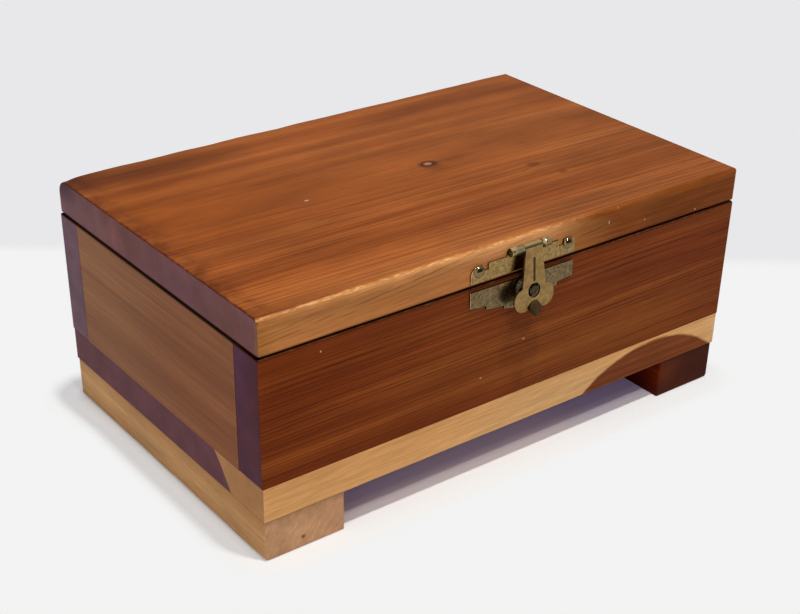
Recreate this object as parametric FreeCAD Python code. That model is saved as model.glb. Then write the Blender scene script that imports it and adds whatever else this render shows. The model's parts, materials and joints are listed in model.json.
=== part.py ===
import FreeCAD, Part
import math
import os

# A small cedar keepsake box: a plain glued carcass on two foot runners, a flat lid on two
# pressed brass hinges, and a pressed brass hasp that swings over a stud on the front board.
# Millimetres. X runs along the front from left to right, Y from front to back, Z up.

# Driving dimensions of the woodwork
BOX_LENGTH = 178.0
BOX_DEPTH = 113.0
WALL_HEIGHT = 40.0
FRONT_THICKNESS = 12.0
BACK_THICKNESS = 10.8
END_THICKNESS = 11.0
BOTTOM_THICKNESS = 11.0
BOTTOM_SHORT = 0.6          # how much shorter the bottom board is than the walls
LID_THICKNESS = 10.7
LID_SHORT = 0.8             # how much shorter the lid is than the walls
LID_GAP = 0.4               # the hinges hold the closed lid this far above the walls
FOOT_HEIGHT = 13.4
FOOT_WIDTHS = {-1: 26.7, 1: 23.9}   # left and right, sawn a little differently
FOOT_INSET = 0.5            # the runners stop this far inside the walls
LID_ROUND = 2.0             # long top edges of the lid
FOOT_ROUND = 1.2            # lower edges of the runners
EASE = 0.5                  # every other outer edge of the woodwork

# Driving dimensions of the brass
SHEET = 0.6                 # sheet that the plates and leaves are pressed from
FIT = 0.05                  # radial clearance of a pin in its knuckle
KNUCKLE_GAP = 0.2           # side gap between neighbouring knuckles
TURN_ROOM = 0.3             # room between a turning knuckle and what lies behind or below it
WEB_LAP = 1.0               # how far a knuckle's web runs down into its plate

HASP_PLATE_LENGTH = 39.0
HASP_PLATE_RAISE = 1.2      # lower edge of the plate above the underside of the lid
HASP_EAR_HEIGHT = 4.8
HASP_EAR_ROUND = 2.2
HASP_NOTCH_HEIGHT = 3.2     # floor of the notch between an ear and the middle
HASP_NOTCH = (14.9, 15.2)   # foot and top of the notch's outer side, from the plate's middle
HASP_STEP = 13.2            # half length of the plate's taller middle
HASP_MIDDLE_HEIGHT = 5.1
HASP_KNUCKLE_RADIUS = 1.3
HASP_PIN_RADIUS = 0.65
HASP_PIN_SINK = 1.0         # the pin stops this far inside each end of the barrel
HASP_AXIS_RAISE = 6.7       # barrel axis above the plate's lower edge
HASP_BARREL = (-6.4, 8.0)   # left and right ends of the barrel along X
HASP_NAIL = (16.7, 3.3)     # nail from the plate's middle, and above its lower edge

ARM_X = 1.5                 # the arm hangs a little right of the plate's middle
ARM_THICKNESS = 0.7
ARM_LEAN = 5.0              # degrees that the closed arm stands out from the vertical
ARM_TOP_WIDTH = 6.4
ARM_SHOULDER = 2.2          # the strap starts to widen this far below the barrel axis
ARM_NECK_WIDTH = 8.6
ARM_NECK = 11.5             # the neck, below the barrel axis
EYE_RADIUS = 2.3
EYE_DROP = 13.0             # centre of the eye, below the barrel axis
LOBE_RADIUS = 3.5
LOBE_DROP = 15.3
LOBE_SPREAD = 3.95          # a lobe's centre from the arm's middle
CLEFT_DROP = 16.2
CREASE = (2.9, 10.2)        # pressed crease, from and to, below the barrel axis
CREASE_WIDTH = 0.8
CREASE_DEPTH = 0.3
LIFT_LENGTH = 5.0           # pointed finger lift between the lobes
LIFT_WIDTH = 4.9
LIFT_WIDEST = 2.3           # the widest point, below the cleft
LIFT_ROOT_WIDTH = 1.3
LIFT_TIP_WIDTH = 0.4
LIFT_LAP = 0.6              # how far the lift runs up into the arm
LIFT_BEND = 16.0            # degrees that the lift bends out of the arm

CATCH_LENGTH = 38.8
CATCH_DROP = 1.2            # upper edge of the catch plate below the top of the front board
CATCH_STEPS = (13.4, 6.7)   # half lengths where the lower edge steps down
CATCH_HEIGHTS = (4.9, 5.5, 6.6, 7.3, 8.3, 9.4)   # end, above and below each step, middle
CATCH_TIP_WIDTH = 0.8
STUD_DOME_RADIUS = 4.4
STUD_DOME_HEIGHT = 2.3
STUD_SHOULDER_RADIUS = 2.1
STUD_BULGE = 0.45           # the round shoulder's rise above a plain cone
STUD_NUB_RADIUS = 1.6
STUD_NUB_EASE = 0.4
STUD_NUB_HEIGHT = 1.1
STUD_SHANK_RADIUS = 0.9
STUD_SHANK = 7.0

HINGE_X = 52.0
LEAF_LENGTH = 25.0
LEAF_HEIGHT = 9.0           # from the barrel axis to the leaf's far edge
LEAF_EAR_HEIGHT = 5.6
LEAF_STEP = 7.2
HINGE_KNUCKLE_RADIUS = 1.75
HINGE_PIN_RADIUS = 0.9
HINGE_BARREL = 14.4
HINGE_NAIL = (9.6, 3.5)     # nail from the leaf's middle, and from the barrel axis
PIN_HEAD = 0.4              # peened head on each end of a hinge's pin
PIN_HEAD_GAP = 0.05         # between that head and the knuckle beside it

NAIL_SHANK_RADIUS = 0.6
NAIL_SHANK = 7.0
NAIL_POINT = 1.2
NAIL_HEAD_RADIUS = 1.8
NAIL_HEAD_HEIGHT = 1.2
NAIL_HOLE = 0.1             # radial clearance of a nail in its plate

BRAD_SHANK_RADIUS = 0.75
BRAD_HEAD_RADIUS = 1.4
BRAD_HEAD = 0.6
BRAD_SINK = 0.4             # a brad's head below the face it was driven into
BOTTOM_BRAD = 24.0
BOTTOM_BRAD_X = (-52.0, 0.0, 52.0)
FOOT_BRAD = 19.0
FOOT_BRAD_Y = 36.0          # half distance between the two brads of a runner

# Derived heights and faces
BOTTOM_UNDER = FOOT_HEIGHT
WALL_UNDER = BOTTOM_UNDER + BOTTOM_THICKNESS
WALL_TOP = WALL_UNDER + WALL_HEIGHT
LID_UNDER = WALL_TOP + LID_GAP
LID_TOP = LID_UNDER + LID_THICKNESS
FRONT = -BOX_DEPTH / 2
BACK = BOX_DEPTH / 2
HALF = BOX_LENGTH / 2
HASP_AXIS_DEPTH = HASP_KNUCKLE_RADIUS + TURN_ROOM
HASP_AXIS_Z = LID_UNDER + HASP_PLATE_RAISE + HASP_AXIS_RAISE
HINGE_AXIS_DEPTH = HINGE_KNUCKLE_RADIUS + TURN_ROOM
HINGE_AXIS_Z = WALL_TOP + LID_GAP / 2
EYE_Z = HASP_AXIS_Z - EYE_DROP * math.cos(math.radians(ARM_LEAN))
CATCH_TOP = WALL_TOP - CATCH_DROP


def vec(x, y, z):
    """A point or a direction."""
    return FreeCAD.Vector(x, y, z)


X_AXIS = vec(1, 0, 0)
Y_AXIS = vec(0, 1, 0)
Z_AXIS = vec(0, 0, 1)
OUTWARD = vec(0, -1, 0)     # away from the wood, before hardware is set on the box
ORIGIN = vec(0, 0, 0)


def block(x, y, z):
    """A box between the two ends of each span."""
    return Part.makeBox(x[1] - x[0], y[1] - y[0], z[1] - z[0], vec(x[0], y[0], z[0]))


def rod(radius, x):
    """A cylinder about the X axis between the two ends of a span."""
    return Part.makeCylinder(radius, x[1] - x[0], vec(x[0], 0, 0), X_AXIS)


def eased(shape, radius, wanted):
    """The shape with every edge that the test wants rounded."""
    edges = [edge for edge in shape.Edges if wanted(edge.CenterOfMass, edge.tangentAt(edge.FirstParameter))]
    return shape.makeFillet(radius, edges)


def along(direction, axis):
    """True where an edge runs along an axis."""
    return abs(direction.dot(axis)) > 0.99


def near(value, target):
    """True where two lengths agree."""
    return abs(value - target) < 1e-3


def pressed(points, thickness):
    """A sheet with the outline given in X and Z, its back on the plane Y = 0 and its face towards -Y."""
    corners = [vec(x, 0, z) for x, z in points]
    wire = Part.makePolygon(corners + corners[:1])
    return Part.Face(wire).extrude(vec(0, -thickness, 0))


def mirrored(half):
    """A closed outline from its right half, listed from the top down."""
    return half + [(-x, z) for x, z in reversed(half)]


def turned(profile):
    """A solid of revolution about -Y, from lines and arcs of (radius, height above the plane Y = 0)."""
    edges = []
    for start, middle, end in profile:
        ends = [vec(radius, -height, 0) for radius, height in (start, end)]
        if middle is None:
            edges.append(Part.LineSegment(*ends).toShape())
        else:
            edges.append(Part.Arc(ends[0], vec(middle[0], -middle[1], 0), ends[1]).toShape())
    return Part.Face(Part.Wire(edges)).revolve(ORIGIN, Y_AXIS, 360)


def cap_middle(radius, height, foot):
    """A point half way along a round cap of the given radius and height that stands on the height foot."""
    ball = (radius * radius + height * height) / (2 * height)
    angle = math.asin(radius / ball) / 2
    return (ball * math.sin(angle), foot + height - ball * (1 - math.cos(angle)))


def bulged(start, end, bulge):
    """The middle of an arc that stands out from the chord between two points of a profile by the bulge."""
    run = end[0] - start[0]
    rise = end[1] - start[1]
    outward = bulge / math.hypot(run, rise)
    return ((start[0] + end[0]) / 2 - rise * outward, (start[1] + end[1]) / 2 + run * outward)


def front_placed(shape, x, z):
    """Sets hardware that is drawn on the plane Y = 0 on the front of the box."""
    return shape.translated(vec(x, FRONT, z))


def back_placed(shape, x, z):
    """Turns hardware that is drawn on the plane Y = 0 round and sets it on the back of the box."""
    return shape.rotated(ORIGIN, Z_AXIS, 180).translated(vec(x, BACK, z))


def lid_board():
    """The flat lid, with both long top edges well rounded."""
    half = HALF - LID_SHORT / 2
    lid = block((-half, half), (FRONT, BACK), (LID_UNDER, LID_TOP))
    lid = eased(lid, LID_ROUND, lambda p, t: along(t, X_AXIS) and near(p.z, LID_TOP))
    return eased(lid, EASE, lambda p, t: along(t, X_AXIS) and near(p.z, LID_UNDER))


def long_wall(y, outer):
    """The front or back board, which runs the whole length, eased on its outer top and corner edges."""
    wall = block((-HALF, HALF), y, (WALL_UNDER, WALL_TOP))
    return eased(wall, EASE, lambda p, t: near(p.y, outer) and not near(p.z, WALL_UNDER))


def end_panel(side):
    """An end panel, butted between the front and back boards and flush with their ends."""
    x = sorted((side * HALF, side * (HALF - END_THICKNESS)))
    return block(x, (FRONT + FRONT_THICKNESS, BACK - BACK_THICKNESS), (WALL_UNDER, WALL_TOP))


def bottom_board():
    """The bottom board under all four walls, with recesses for its brads."""
    half = HALF - BOTTOM_SHORT / 2
    board = block((-half, half), (FRONT, BACK), (BOTTOM_UNDER, WALL_UNDER))
    board = eased(board, EASE, lambda p, t: near(abs(p.x), half) and near(abs(p.y), BACK))
    return board.cut(Part.makeCompound([recess(x, y, BOTTOM_UNDER) for x, y in bottom_brad_places()]))


def foot_runner(side):
    """A runner under one end of the box, rounded along its lower edges, with recesses for its brads."""
    outer = side * (HALF - FOOT_INSET)
    x = sorted((outer, outer - side * FOOT_WIDTHS[side]))
    runner = block(x, (FRONT + FOOT_INSET, BACK - FOOT_INSET), (0, FOOT_HEIGHT))
    runner = eased(runner, FOOT_ROUND, lambda p, t: near(p.z, 0) and (near(p.x, outer) or along(t, X_AXIS)))
    return runner.cut(Part.makeCompound([recess(px, py, 0) for px, py in foot_brad_places(side)]))


def bottom_brad_places():
    """Where the bottom board is nailed to the front and back boards."""
    rows = (FRONT + FRONT_THICKNESS / 2, BACK - BACK_THICKNESS / 2)
    return [(x, y) for y in rows for x in BOTTOM_BRAD_X]


def foot_brad_places(side):
    """Where a runner is nailed to the bottom board."""
    x = side * (HALF - FOOT_INSET - FOOT_WIDTHS[side] / 2)
    return [(x, y) for y in (-FOOT_BRAD_Y, FOOT_BRAD_Y)]


def recess(x, y, z):
    """The room that a brad's head leaves in the face above it."""
    return Part.makeCylinder(BRAD_HEAD_RADIUS, BRAD_SINK + BRAD_HEAD, vec(x, y, z), Z_AXIS)


def brad(x, y, z, length):
    """A flat-headed brad driven upwards into the face at the height z."""
    under = z + BRAD_SINK
    head = Part.makeCylinder(BRAD_HEAD_RADIUS, BRAD_HEAD, vec(x, y, under), Z_AXIS)
    shank = Part.makeCylinder(BRAD_SHANK_RADIUS, length - NAIL_POINT, vec(x, y, under), Z_AXIS)
    point = Part.makeCone(BRAD_SHANK_RADIUS, 0, NAIL_POINT, vec(x, y, under + length - NAIL_POINT), Z_AXIS)
    return head.fuse([shank, point]).removeSplitter()


def bottom_brads():
    """The brads that hold the bottom board to the walls."""
    return Part.makeCompound([brad(x, y, BOTTOM_UNDER, BOTTOM_BRAD) for x, y in bottom_brad_places()])


def foot_brads():
    """The brads that hold both runners to the bottom board."""
    places = foot_brad_places(-1) + foot_brad_places(1)
    return Part.makeCompound([brad(x, y, 0, FOOT_BRAD) for x, y in places])


def nail():
    """A round-headed brass nail whose head sits on a pressed plate."""
    head_top = SHEET + NAIL_HEAD_HEIGHT
    tip = SHEET - NAIL_SHANK
    middle = cap_middle(NAIL_HEAD_RADIUS, NAIL_HEAD_HEIGHT, SHEET)
    return turned([
        ((0, head_top), middle, (NAIL_HEAD_RADIUS, SHEET)),
        ((NAIL_HEAD_RADIUS, SHEET), None, (NAIL_SHANK_RADIUS, SHEET)),
        ((NAIL_SHANK_RADIUS, SHEET), None, (NAIL_SHANK_RADIUS, tip + NAIL_POINT)),
        ((NAIL_SHANK_RADIUS, tip + NAIL_POINT), None, (0, tip)),
        ((0, tip), None, (0, head_top)),
    ])


def nails(places):
    """One nail at each place of a plate."""
    return Part.makeCompound([nail().translated(vec(x, 0, z)) for x, z in places])


def nail_holes(places):
    """The holes that the nails pass through in a plate."""
    radius = NAIL_SHANK_RADIUS + NAIL_HOLE
    drills = [Part.makeCylinder(radius, 2 * SHEET, vec(x, SHEET / 2, z), OUTWARD) for x, z in places]
    return Part.makeCompound(drills)


def barrel_pin(radius, knuckle_radius, x):
    """A pin through a hinge's barrel, peened to a low head at each end."""
    head_radius = (radius + knuckle_radius) / 2
    left = rod(head_radius, (x[0] - PIN_HEAD, x[0] - PIN_HEAD_GAP))
    right = rod(head_radius, (x[1] + PIN_HEAD_GAP, x[1] + PIN_HEAD))
    return rod(radius, (x[0] - PIN_HEAD, x[1] + PIN_HEAD)).fuse([left, right]).removeSplitter()


def knuckle(x, radius, bore, depth, drop):
    """A rolled knuckle about the X axis, with the web of sheet that joins it to a plate that far below."""
    web = block(x, (depth - SHEET, depth), (-drop - WEB_LAP, 0))
    return rod(radius, x).fuse(web).cut(rod(bore, x))


def hasp_knuckles():
    """The spans along X of the barrel's left, middle and right knuckles."""
    arm = (ARM_X - ARM_TOP_WIDTH / 2, ARM_X + ARM_TOP_WIDTH / 2)
    return (HASP_BARREL[0], arm[0] - KNUCKLE_GAP), arm, (arm[1] + KNUCKLE_GAP, HASP_BARREL[1])


def hasp_nail_places():
    """The nails in the ears of the hasp plate."""
    return [(-HASP_NAIL[0], HASP_NAIL[1]), HASP_NAIL]


def hasp_plate():
    """The notched plate on the lid, its lower edge at Z = 0, with the two outer knuckles of the barrel."""
    end = HASP_PLATE_LENGTH / 2
    foot, top = HASP_NOTCH
    half = [
        (HASP_STEP, HASP_MIDDLE_HEIGHT), (HASP_STEP, HASP_NOTCH_HEIGHT), (foot, HASP_NOTCH_HEIGHT),
        (top, HASP_EAR_HEIGHT), (end, HASP_EAR_HEIGHT), (end, 0),
    ]
    plate = pressed(mirrored(half), SHEET)
    upper = HASP_EAR_HEIGHT / 2
    outer = lambda p, t: along(t, Y_AXIS) and near(abs(p.x), end) and p.z > upper
    plate = eased(plate, HASP_EAR_ROUND, outer)
    plate = plate.cut(nail_holes(hasp_nail_places()))
    left, _, right = hasp_knuckles()
    drop = HASP_AXIS_RAISE - HASP_MIDDLE_HEIGHT
    for span in (left, right):
        roll = knuckle(span, HASP_KNUCKLE_RADIUS, HASP_PIN_RADIUS + FIT, HASP_AXIS_DEPTH, drop)
        plate = plate.fuse(roll.translated(vec(0, -HASP_AXIS_DEPTH, HASP_AXIS_RAISE)))
    return plate.removeSplitter()


def hasp_arm():
    """The swinging arm about its barrel axis: a strap that widens to an eye, two lobes and a finger lift."""
    _, span, _ = hasp_knuckles()
    span = (span[0] - ARM_X, span[1] - ARM_X)
    top = ARM_TOP_WIDTH / 2
    half = [(top, 0), (top, -ARM_SHOULDER), (ARM_NECK_WIDTH / 2, -ARM_NECK), (LOBE_SPREAD, -CLEFT_DROP)]
    strap = pressed(mirrored(half), ARM_THICKNESS)
    for side in (-1, 1):
        lobe_middle = vec(side * LOBE_SPREAD, 0, -LOBE_DROP)
        strap = strap.fuse(Part.makeCylinder(LOBE_RADIUS, ARM_THICKNESS, lobe_middle, OUTWARD))
    strap = strap.fuse(finger_lift())
    eye_back = vec(0, ARM_THICKNESS, -EYE_DROP)
    strap = strap.cut(Part.makeCylinder(EYE_RADIUS, 4 * ARM_THICKNESS, eye_back, OUTWARD))
    strap = strap.cut(crease())
    strap = strap.translated(vec(0, ARM_THICKNESS - HASP_KNUCKLE_RADIUS, 0))
    arm = strap.fuse(rod(HASP_KNUCKLE_RADIUS, span))
    arm = arm.cut(rod(HASP_PIN_RADIUS + FIT, span)).removeSplitter()
    return arm.rotated(ORIGIN, X_AXIS, -ARM_LEAN)


def finger_lift():
    """The pointed lift below the cleft of the lobes, bent out of the plane of the arm."""
    half = [
        (LIFT_ROOT_WIDTH / 2, LIFT_LAP),
        (LIFT_WIDTH / 2, -LIFT_WIDEST),
        (LIFT_TIP_WIDTH / 2, -LIFT_LENGTH),
    ]
    lift = pressed(mirrored(half), ARM_THICKNESS)
    return lift.rotated(ORIGIN, X_AXIS, -LIFT_BEND).translated(vec(0, 0, -CLEFT_DROP))


def crease():
    """The V-shaped crease down the face of the strap."""
    face = -ARM_THICKNESS
    corners = [
        vec(-CREASE_WIDTH / 2, face, -CREASE[0]),
        vec(CREASE_WIDTH / 2, face, -CREASE[0]),
        vec(0, face + CREASE_DEPTH, -CREASE[0]),
    ]
    return Part.Face(Part.makePolygon(corners + corners[:1])).extrude(vec(0, 0, CREASE[0] - CREASE[1]))


def catch_plate():
    """The catch plate on the front board, its upper edge at Z = 0, with a lower edge that steps down."""
    end, first, second, third, fourth, middle = CATCH_HEIGHTS
    outer, inner = CATCH_STEPS
    half = [
        (CATCH_LENGTH / 2, 0), (CATCH_LENGTH / 2, -end), (outer, -first), (outer, -second),
        (inner, -third), (inner, -fourth), (CATCH_TIP_WIDTH / 2, -middle),
    ]
    stud_back = vec(ARM_X, SHEET / 2, EYE_Z - CATCH_TOP)
    stud_hole = Part.makeCylinder(STUD_SHANK_RADIUS, 2 * SHEET, stud_back, OUTWARD)
    return pressed(mirrored(half), SHEET).cut(stud_hole)


def catch_stud():
    """The turned stud: a shank into the wood, a round shoulder on the plate and a nub for the arm's eye."""
    shoulder = SHEET + STUD_DOME_HEIGHT
    top = shoulder + STUD_NUB_HEIGHT
    tip = SHEET - STUD_SHANK
    face = (STUD_NUB_RADIUS - STUD_NUB_EASE, top)
    nub = (STUD_NUB_RADIUS, top - STUD_NUB_EASE)
    rim = (STUD_SHOULDER_RADIUS, shoulder)
    foot = (STUD_DOME_RADIUS, SHEET)
    quarter_round = STUD_NUB_EASE * (1 - math.sqrt(0.5))
    return turned([
        ((0, top), None, face),
        (face, bulged(face, nub, quarter_round), nub),
        (nub, None, (STUD_NUB_RADIUS, shoulder)),
        ((STUD_NUB_RADIUS, shoulder), None, rim),
        (rim, bulged(rim, foot, STUD_BULGE), foot),
        (foot, None, (STUD_SHANK_RADIUS, SHEET)),
        ((STUD_SHANK_RADIUS, SHEET), None, (STUD_SHANK_RADIUS, tip + NAIL_POINT)),
        ((STUD_SHANK_RADIUS, tip + NAIL_POINT), None, (0, tip)),
        ((0, tip), None, (0, top)),
    ])


def hinge_knuckles():
    """The spans along X of a hinge's three knuckles, from left to right."""
    width = (HINGE_BARREL - 2 * KNUCKLE_GAP) / 3
    starts = [index * (width + KNUCKLE_GAP) - HINGE_BARREL / 2 for index in range(3)]
    return [(start, start + width) for start in starts]


def hinge_nail_places():
    """The two nails of a leaf that hangs below its barrel."""
    return [(-HINGE_NAIL[0], -HINGE_NAIL[1]), (HINGE_NAIL[0], -HINGE_NAIL[1])]


def hinge_leaf(spans):
    """A leaf that hangs below its barrel axis, with knuckles on the given spans."""
    top = -HINGE_KNUCKLE_RADIUS - TURN_ROOM
    end = LEAF_LENGTH / 2
    half = [(end, top), (end, -LEAF_EAR_HEIGHT), (LEAF_STEP, -LEAF_EAR_HEIGHT), (LEAF_STEP, -LEAF_HEIGHT)]
    leaf = pressed(mirrored(half), SHEET).cut(nail_holes(hinge_nail_places()))
    for span in spans:
        roll = knuckle(span, HINGE_KNUCKLE_RADIUS, HINGE_PIN_RADIUS + FIT, HINGE_AXIS_DEPTH, -top)
        leaf = leaf.fuse(roll.translated(vec(0, -HINGE_AXIS_DEPTH, 0)))
    return leaf.removeSplitter()


def upturned(shape):
    """Turns a leaf or its nails from below the barrel axis to above it."""
    return shape.rotated(ORIGIN, Y_AXIS, 180)


def woodwork():
    """The eight boards."""
    return {
        "lid_board": lid_board(),
        "front_board": long_wall((FRONT, FRONT + FRONT_THICKNESS), FRONT),
        "back_board": long_wall((BACK - BACK_THICKNESS, BACK), BACK),
        "left_end_panel": end_panel(-1),
        "right_end_panel": end_panel(1),
        "bottom_board": bottom_board(),
        "left_foot_runner": foot_runner(-1),
        "right_foot_runner": foot_runner(1),
        "bottom_brads": bottom_brads(),
        "foot_brads": foot_brads(),
    }


def hasp():
    """The hasp on the lid and its catch on the front board."""
    plate_z = LID_UNDER + HASP_PLATE_RAISE
    pin = rod(HASP_PIN_RADIUS, (HASP_BARREL[0] + HASP_PIN_SINK, HASP_BARREL[1] - HASP_PIN_SINK))
    pin = pin.translated(vec(0, -HASP_AXIS_DEPTH, 0))
    arm = hasp_arm().translated(vec(0, -HASP_AXIS_DEPTH, 0))
    return {
        "hasp_plate": front_placed(hasp_plate(), 0, plate_z),
        "hasp_plate_nails": front_placed(nails(hasp_nail_places()), 0, plate_z),
        "hasp_pin": front_placed(pin, 0, HASP_AXIS_Z),
        "hasp_arm": front_placed(arm, ARM_X, HASP_AXIS_Z),
        "catch_plate": front_placed(catch_plate(), 0, CATCH_TOP),
        "catch_stud": front_placed(catch_stud(), ARM_X, EYE_Z),
    }


def hinge(side, x):
    """One hinge on the back: a leaf on the box, a leaf on the lid, the pin and both pairs of nails."""
    left, middle, right = hinge_knuckles()
    pin = barrel_pin(HINGE_PIN_RADIUS, HINGE_KNUCKLE_RADIUS, (left[0], right[1]))
    fastening = nails(hinge_nail_places())
    pieces = {
        "box_leaf": hinge_leaf([left, right]),
        "box_leaf_nails": fastening,
        "lid_leaf": upturned(hinge_leaf([middle])),
        "lid_leaf_nails": upturned(fastening),
        "pin": pin.translated(vec(0, -HINGE_AXIS_DEPTH, 0)),
    }
    return {side + "_hinge_" + name: back_placed(shape, x, HINGE_AXIS_Z) for name, shape in pieces.items()}


def build():
    """Every piece, moved so that the origin lies under the middle of the whole box and its brass."""
    pieces = {**woodwork(), **hasp(), **hinge("left", -HINGE_X), **hinge("right", HINGE_X)}
    reach = [shape.optimalBoundingBox(False, False) for shape in pieces.values()]
    middle_y = round((min(b.YMin for b in reach) + max(b.YMax for b in reach)) / 2, 2)
    print("hinge axis y, z:", BACK + HINGE_AXIS_DEPTH - middle_y, HINGE_AXIS_Z)
    print("hasp axis y, z:", FRONT - HASP_AXIS_DEPTH - middle_y, HASP_AXIS_Z)
    print("front and back faces y:", FRONT - middle_y, BACK - middle_y)
    return {name: shape.translated(vec(0, -middle_y, 0)) for name, shape in pieces.items()}


os.makedirs("parts", exist_ok=True)
for node, shape in build().items():
    print(node, "solids", len(shape.Solids), "valid", shape.isValid(), "volume", round(shape.Volume, 2))
    shape.exportStep("parts/" + node + ".step")
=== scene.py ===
"""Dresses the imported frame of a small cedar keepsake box: worn boards, antique brass and a plain studio."""
import json
import logging
import math
from dataclasses import dataclass, field
from enum import Enum
from functools import partial
from typing import Callable, Sequence, Union

import bmesh
import bpy
from mathutils import Matrix, Vector, noise

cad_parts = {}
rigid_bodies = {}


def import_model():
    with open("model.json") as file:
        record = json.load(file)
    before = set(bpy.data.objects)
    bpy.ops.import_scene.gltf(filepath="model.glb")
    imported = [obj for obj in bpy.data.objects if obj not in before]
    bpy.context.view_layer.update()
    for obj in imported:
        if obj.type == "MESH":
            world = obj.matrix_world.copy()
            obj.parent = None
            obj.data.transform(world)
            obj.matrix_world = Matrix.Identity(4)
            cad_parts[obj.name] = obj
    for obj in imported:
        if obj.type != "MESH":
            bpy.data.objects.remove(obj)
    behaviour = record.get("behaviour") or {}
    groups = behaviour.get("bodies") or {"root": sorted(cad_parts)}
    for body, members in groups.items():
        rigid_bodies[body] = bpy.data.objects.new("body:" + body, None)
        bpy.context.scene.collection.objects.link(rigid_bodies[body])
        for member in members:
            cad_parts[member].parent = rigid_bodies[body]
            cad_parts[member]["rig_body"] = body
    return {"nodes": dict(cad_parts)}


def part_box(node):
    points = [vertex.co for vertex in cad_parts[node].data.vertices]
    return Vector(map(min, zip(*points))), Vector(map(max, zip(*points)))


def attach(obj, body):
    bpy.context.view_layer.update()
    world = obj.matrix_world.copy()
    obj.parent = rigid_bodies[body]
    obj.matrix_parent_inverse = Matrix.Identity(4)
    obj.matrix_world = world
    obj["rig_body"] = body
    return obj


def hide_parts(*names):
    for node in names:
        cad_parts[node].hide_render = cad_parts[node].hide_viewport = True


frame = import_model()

LOG = logging.getLogger("cedar_box")
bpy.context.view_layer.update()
MM = 0.001
PER_MM = 1000.0

Colour = tuple[float, float, float, float]
Pair = tuple[float, float]
Triple = tuple[float, float, float]
Socket = bpy.types.NodeSocket
Value = Union[Socket, float, int, tuple]
Put = Callable[..., Socket]

# Settings that many nodes share: a soft step, and a mix of two colours.
SMOOTH = {"interpolation_type": "SMOOTHSTEP"}
BLEND = {"out": 2, "data_type": "RGBA"}


class Grain(Enum):
    """The axis that a board's fibres follow."""

    ALONG_X = 0
    ALONG_Y = 1


class Surface(Enum):
    """How a face of a board was left by its maker."""

    VARNISHED = "varnished"
    BARE = "bare"


class Side(Enum):
    """A side of a board's section: its sign along the first or the second axis across the grain."""

    LOW_ACROSS = (0, -1)
    HIGH_ACROSS = (0, 1)
    UNDER = (1, -1)
    UPPER = (1, 1)


def linear(hex_colour: str) -> Colour:
    """Turns an sRGB hex colour into linear light.

    Args:
        hex_colour: Six hex digits after a hash sign.

    Returns:
        Linear red, green and blue, and an alpha of one.
    """
    channels = [int(hex_colour[start:start + 2], 16) / 255 for start in (1, 3, 5)]
    lit = [c / 12.92 if c <= 0.04045 else ((c + 0.055) / 1.055) ** 2.4 for c in channels]
    return lit[0], lit[1], lit[2], 1.0


def grey(level: float) -> Colour:
    """A linear grey of that level."""
    return level, level, level, 1.0


def add(
    tree: bpy.types.NodeTree,
    kind: str,
    inputs: dict[Union[int, str], Value],
    out: Union[int, str, tuple] = 0,
    stops: Sequence[tuple[float, Colour]] = (),
    **settings: object,
) -> Union[Socket, tuple, None]:
    """Adds a node with its settings and its links.

    Args:
        tree: The node tree that takes the node.
        kind: The node's type name.
        inputs: What each input takes: a socket to link, or a value to set.
        out: The output that is wanted, or several of them.
        stops: Places and colours of a colour ramp, in rising order.
        settings: The node's own properties.

    Returns:
        The wanted output or outputs, or None where the node has none.
    """
    made = tree.nodes.new(kind)
    for key, value in settings.items():
        setattr(made, key, value)
    if stops:
        ramp = made.color_ramp
        ramp.elements.remove(ramp.elements[-1])
        ramp.elements[0].position, ramp.elements[0].color = stops[0]
        for place, colour in stops[1:]:
            ramp.elements.new(place).color = colour
    for key, value in inputs.items():
        if isinstance(value, Socket):
            tree.links.new(value, made.inputs[key])
        else:
            made.inputs[key].default_value = value
    if isinstance(out, tuple):
        return tuple(made.outputs[key] for key in out)
    return made.outputs[out] if made.outputs else None


def fresh_material(name: str) -> tuple[bpy.types.Material, Put]:
    """Starts an empty node material.

    Args:
        name: The material's name.

    Returns:
        The material, and the function that adds a node to it.
    """
    material = bpy.data.materials.new(name)
    material.use_nodes = True
    material.node_tree.nodes.clear()
    return material, partial(add, material.node_tree)


def place_in_mm(put: Put) -> Socket:
    """The place on an object in millimetres."""
    metres = put("ShaderNodeTexCoord", {}, out="Object")
    return put("ShaderNodeVectorMath", {0: metres, "Scale": PER_MM}, operation="SCALE")


def patches(
    put: Put, place: Socket, size: Triple, detail: float = 2.0, out: int = 0, **more: float
) -> Socket:
    """Draws soft uneven patches of a real size.

    Args:
        put: The function that adds a node.
        place: The place in millimetres.
        size: A patch's size along each axis in millimetres, without end where it runs right through.
        detail: How many layers of finer patches lie on the first.
        out: Nought for one level at each place, and one for three of them.
        more: Other inputs of the noise, by name.

    Returns:
        The level at the place, from nought to one.
    """
    scale = tuple(1 / side for side in size)
    scaled = put("ShaderNodeVectorMath", {0: place, 1: scale}, operation="MULTIPLY")
    return put("ShaderNodeTexNoise", {"Vector": scaled, "Scale": 1.0, "Detail": detail, **more}, out=out)


def toned(put: Put, colour: Socket, pattern: Socket, span: Pair, levels: Pair) -> Socket:
    """Makes a colour darker and lighter by a pattern.

    Args:
        put: The function that adds a node.
        colour: The colour so far.
        pattern: The pattern.
        span: The pattern's levels that count as its lowest and its highest.
        levels: What the colour is multiplied by at those two.

    Returns:
        The toned colour.
    """
    inputs = {0: pattern, 1: span[0], 2: span[1], 3: levels[0], 4: levels[1]}
    level = put("ShaderNodeMapRange", inputs)
    return put("ShaderNodeVectorMath", {0: colour, "Scale": level}, operation="SCALE")


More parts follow.
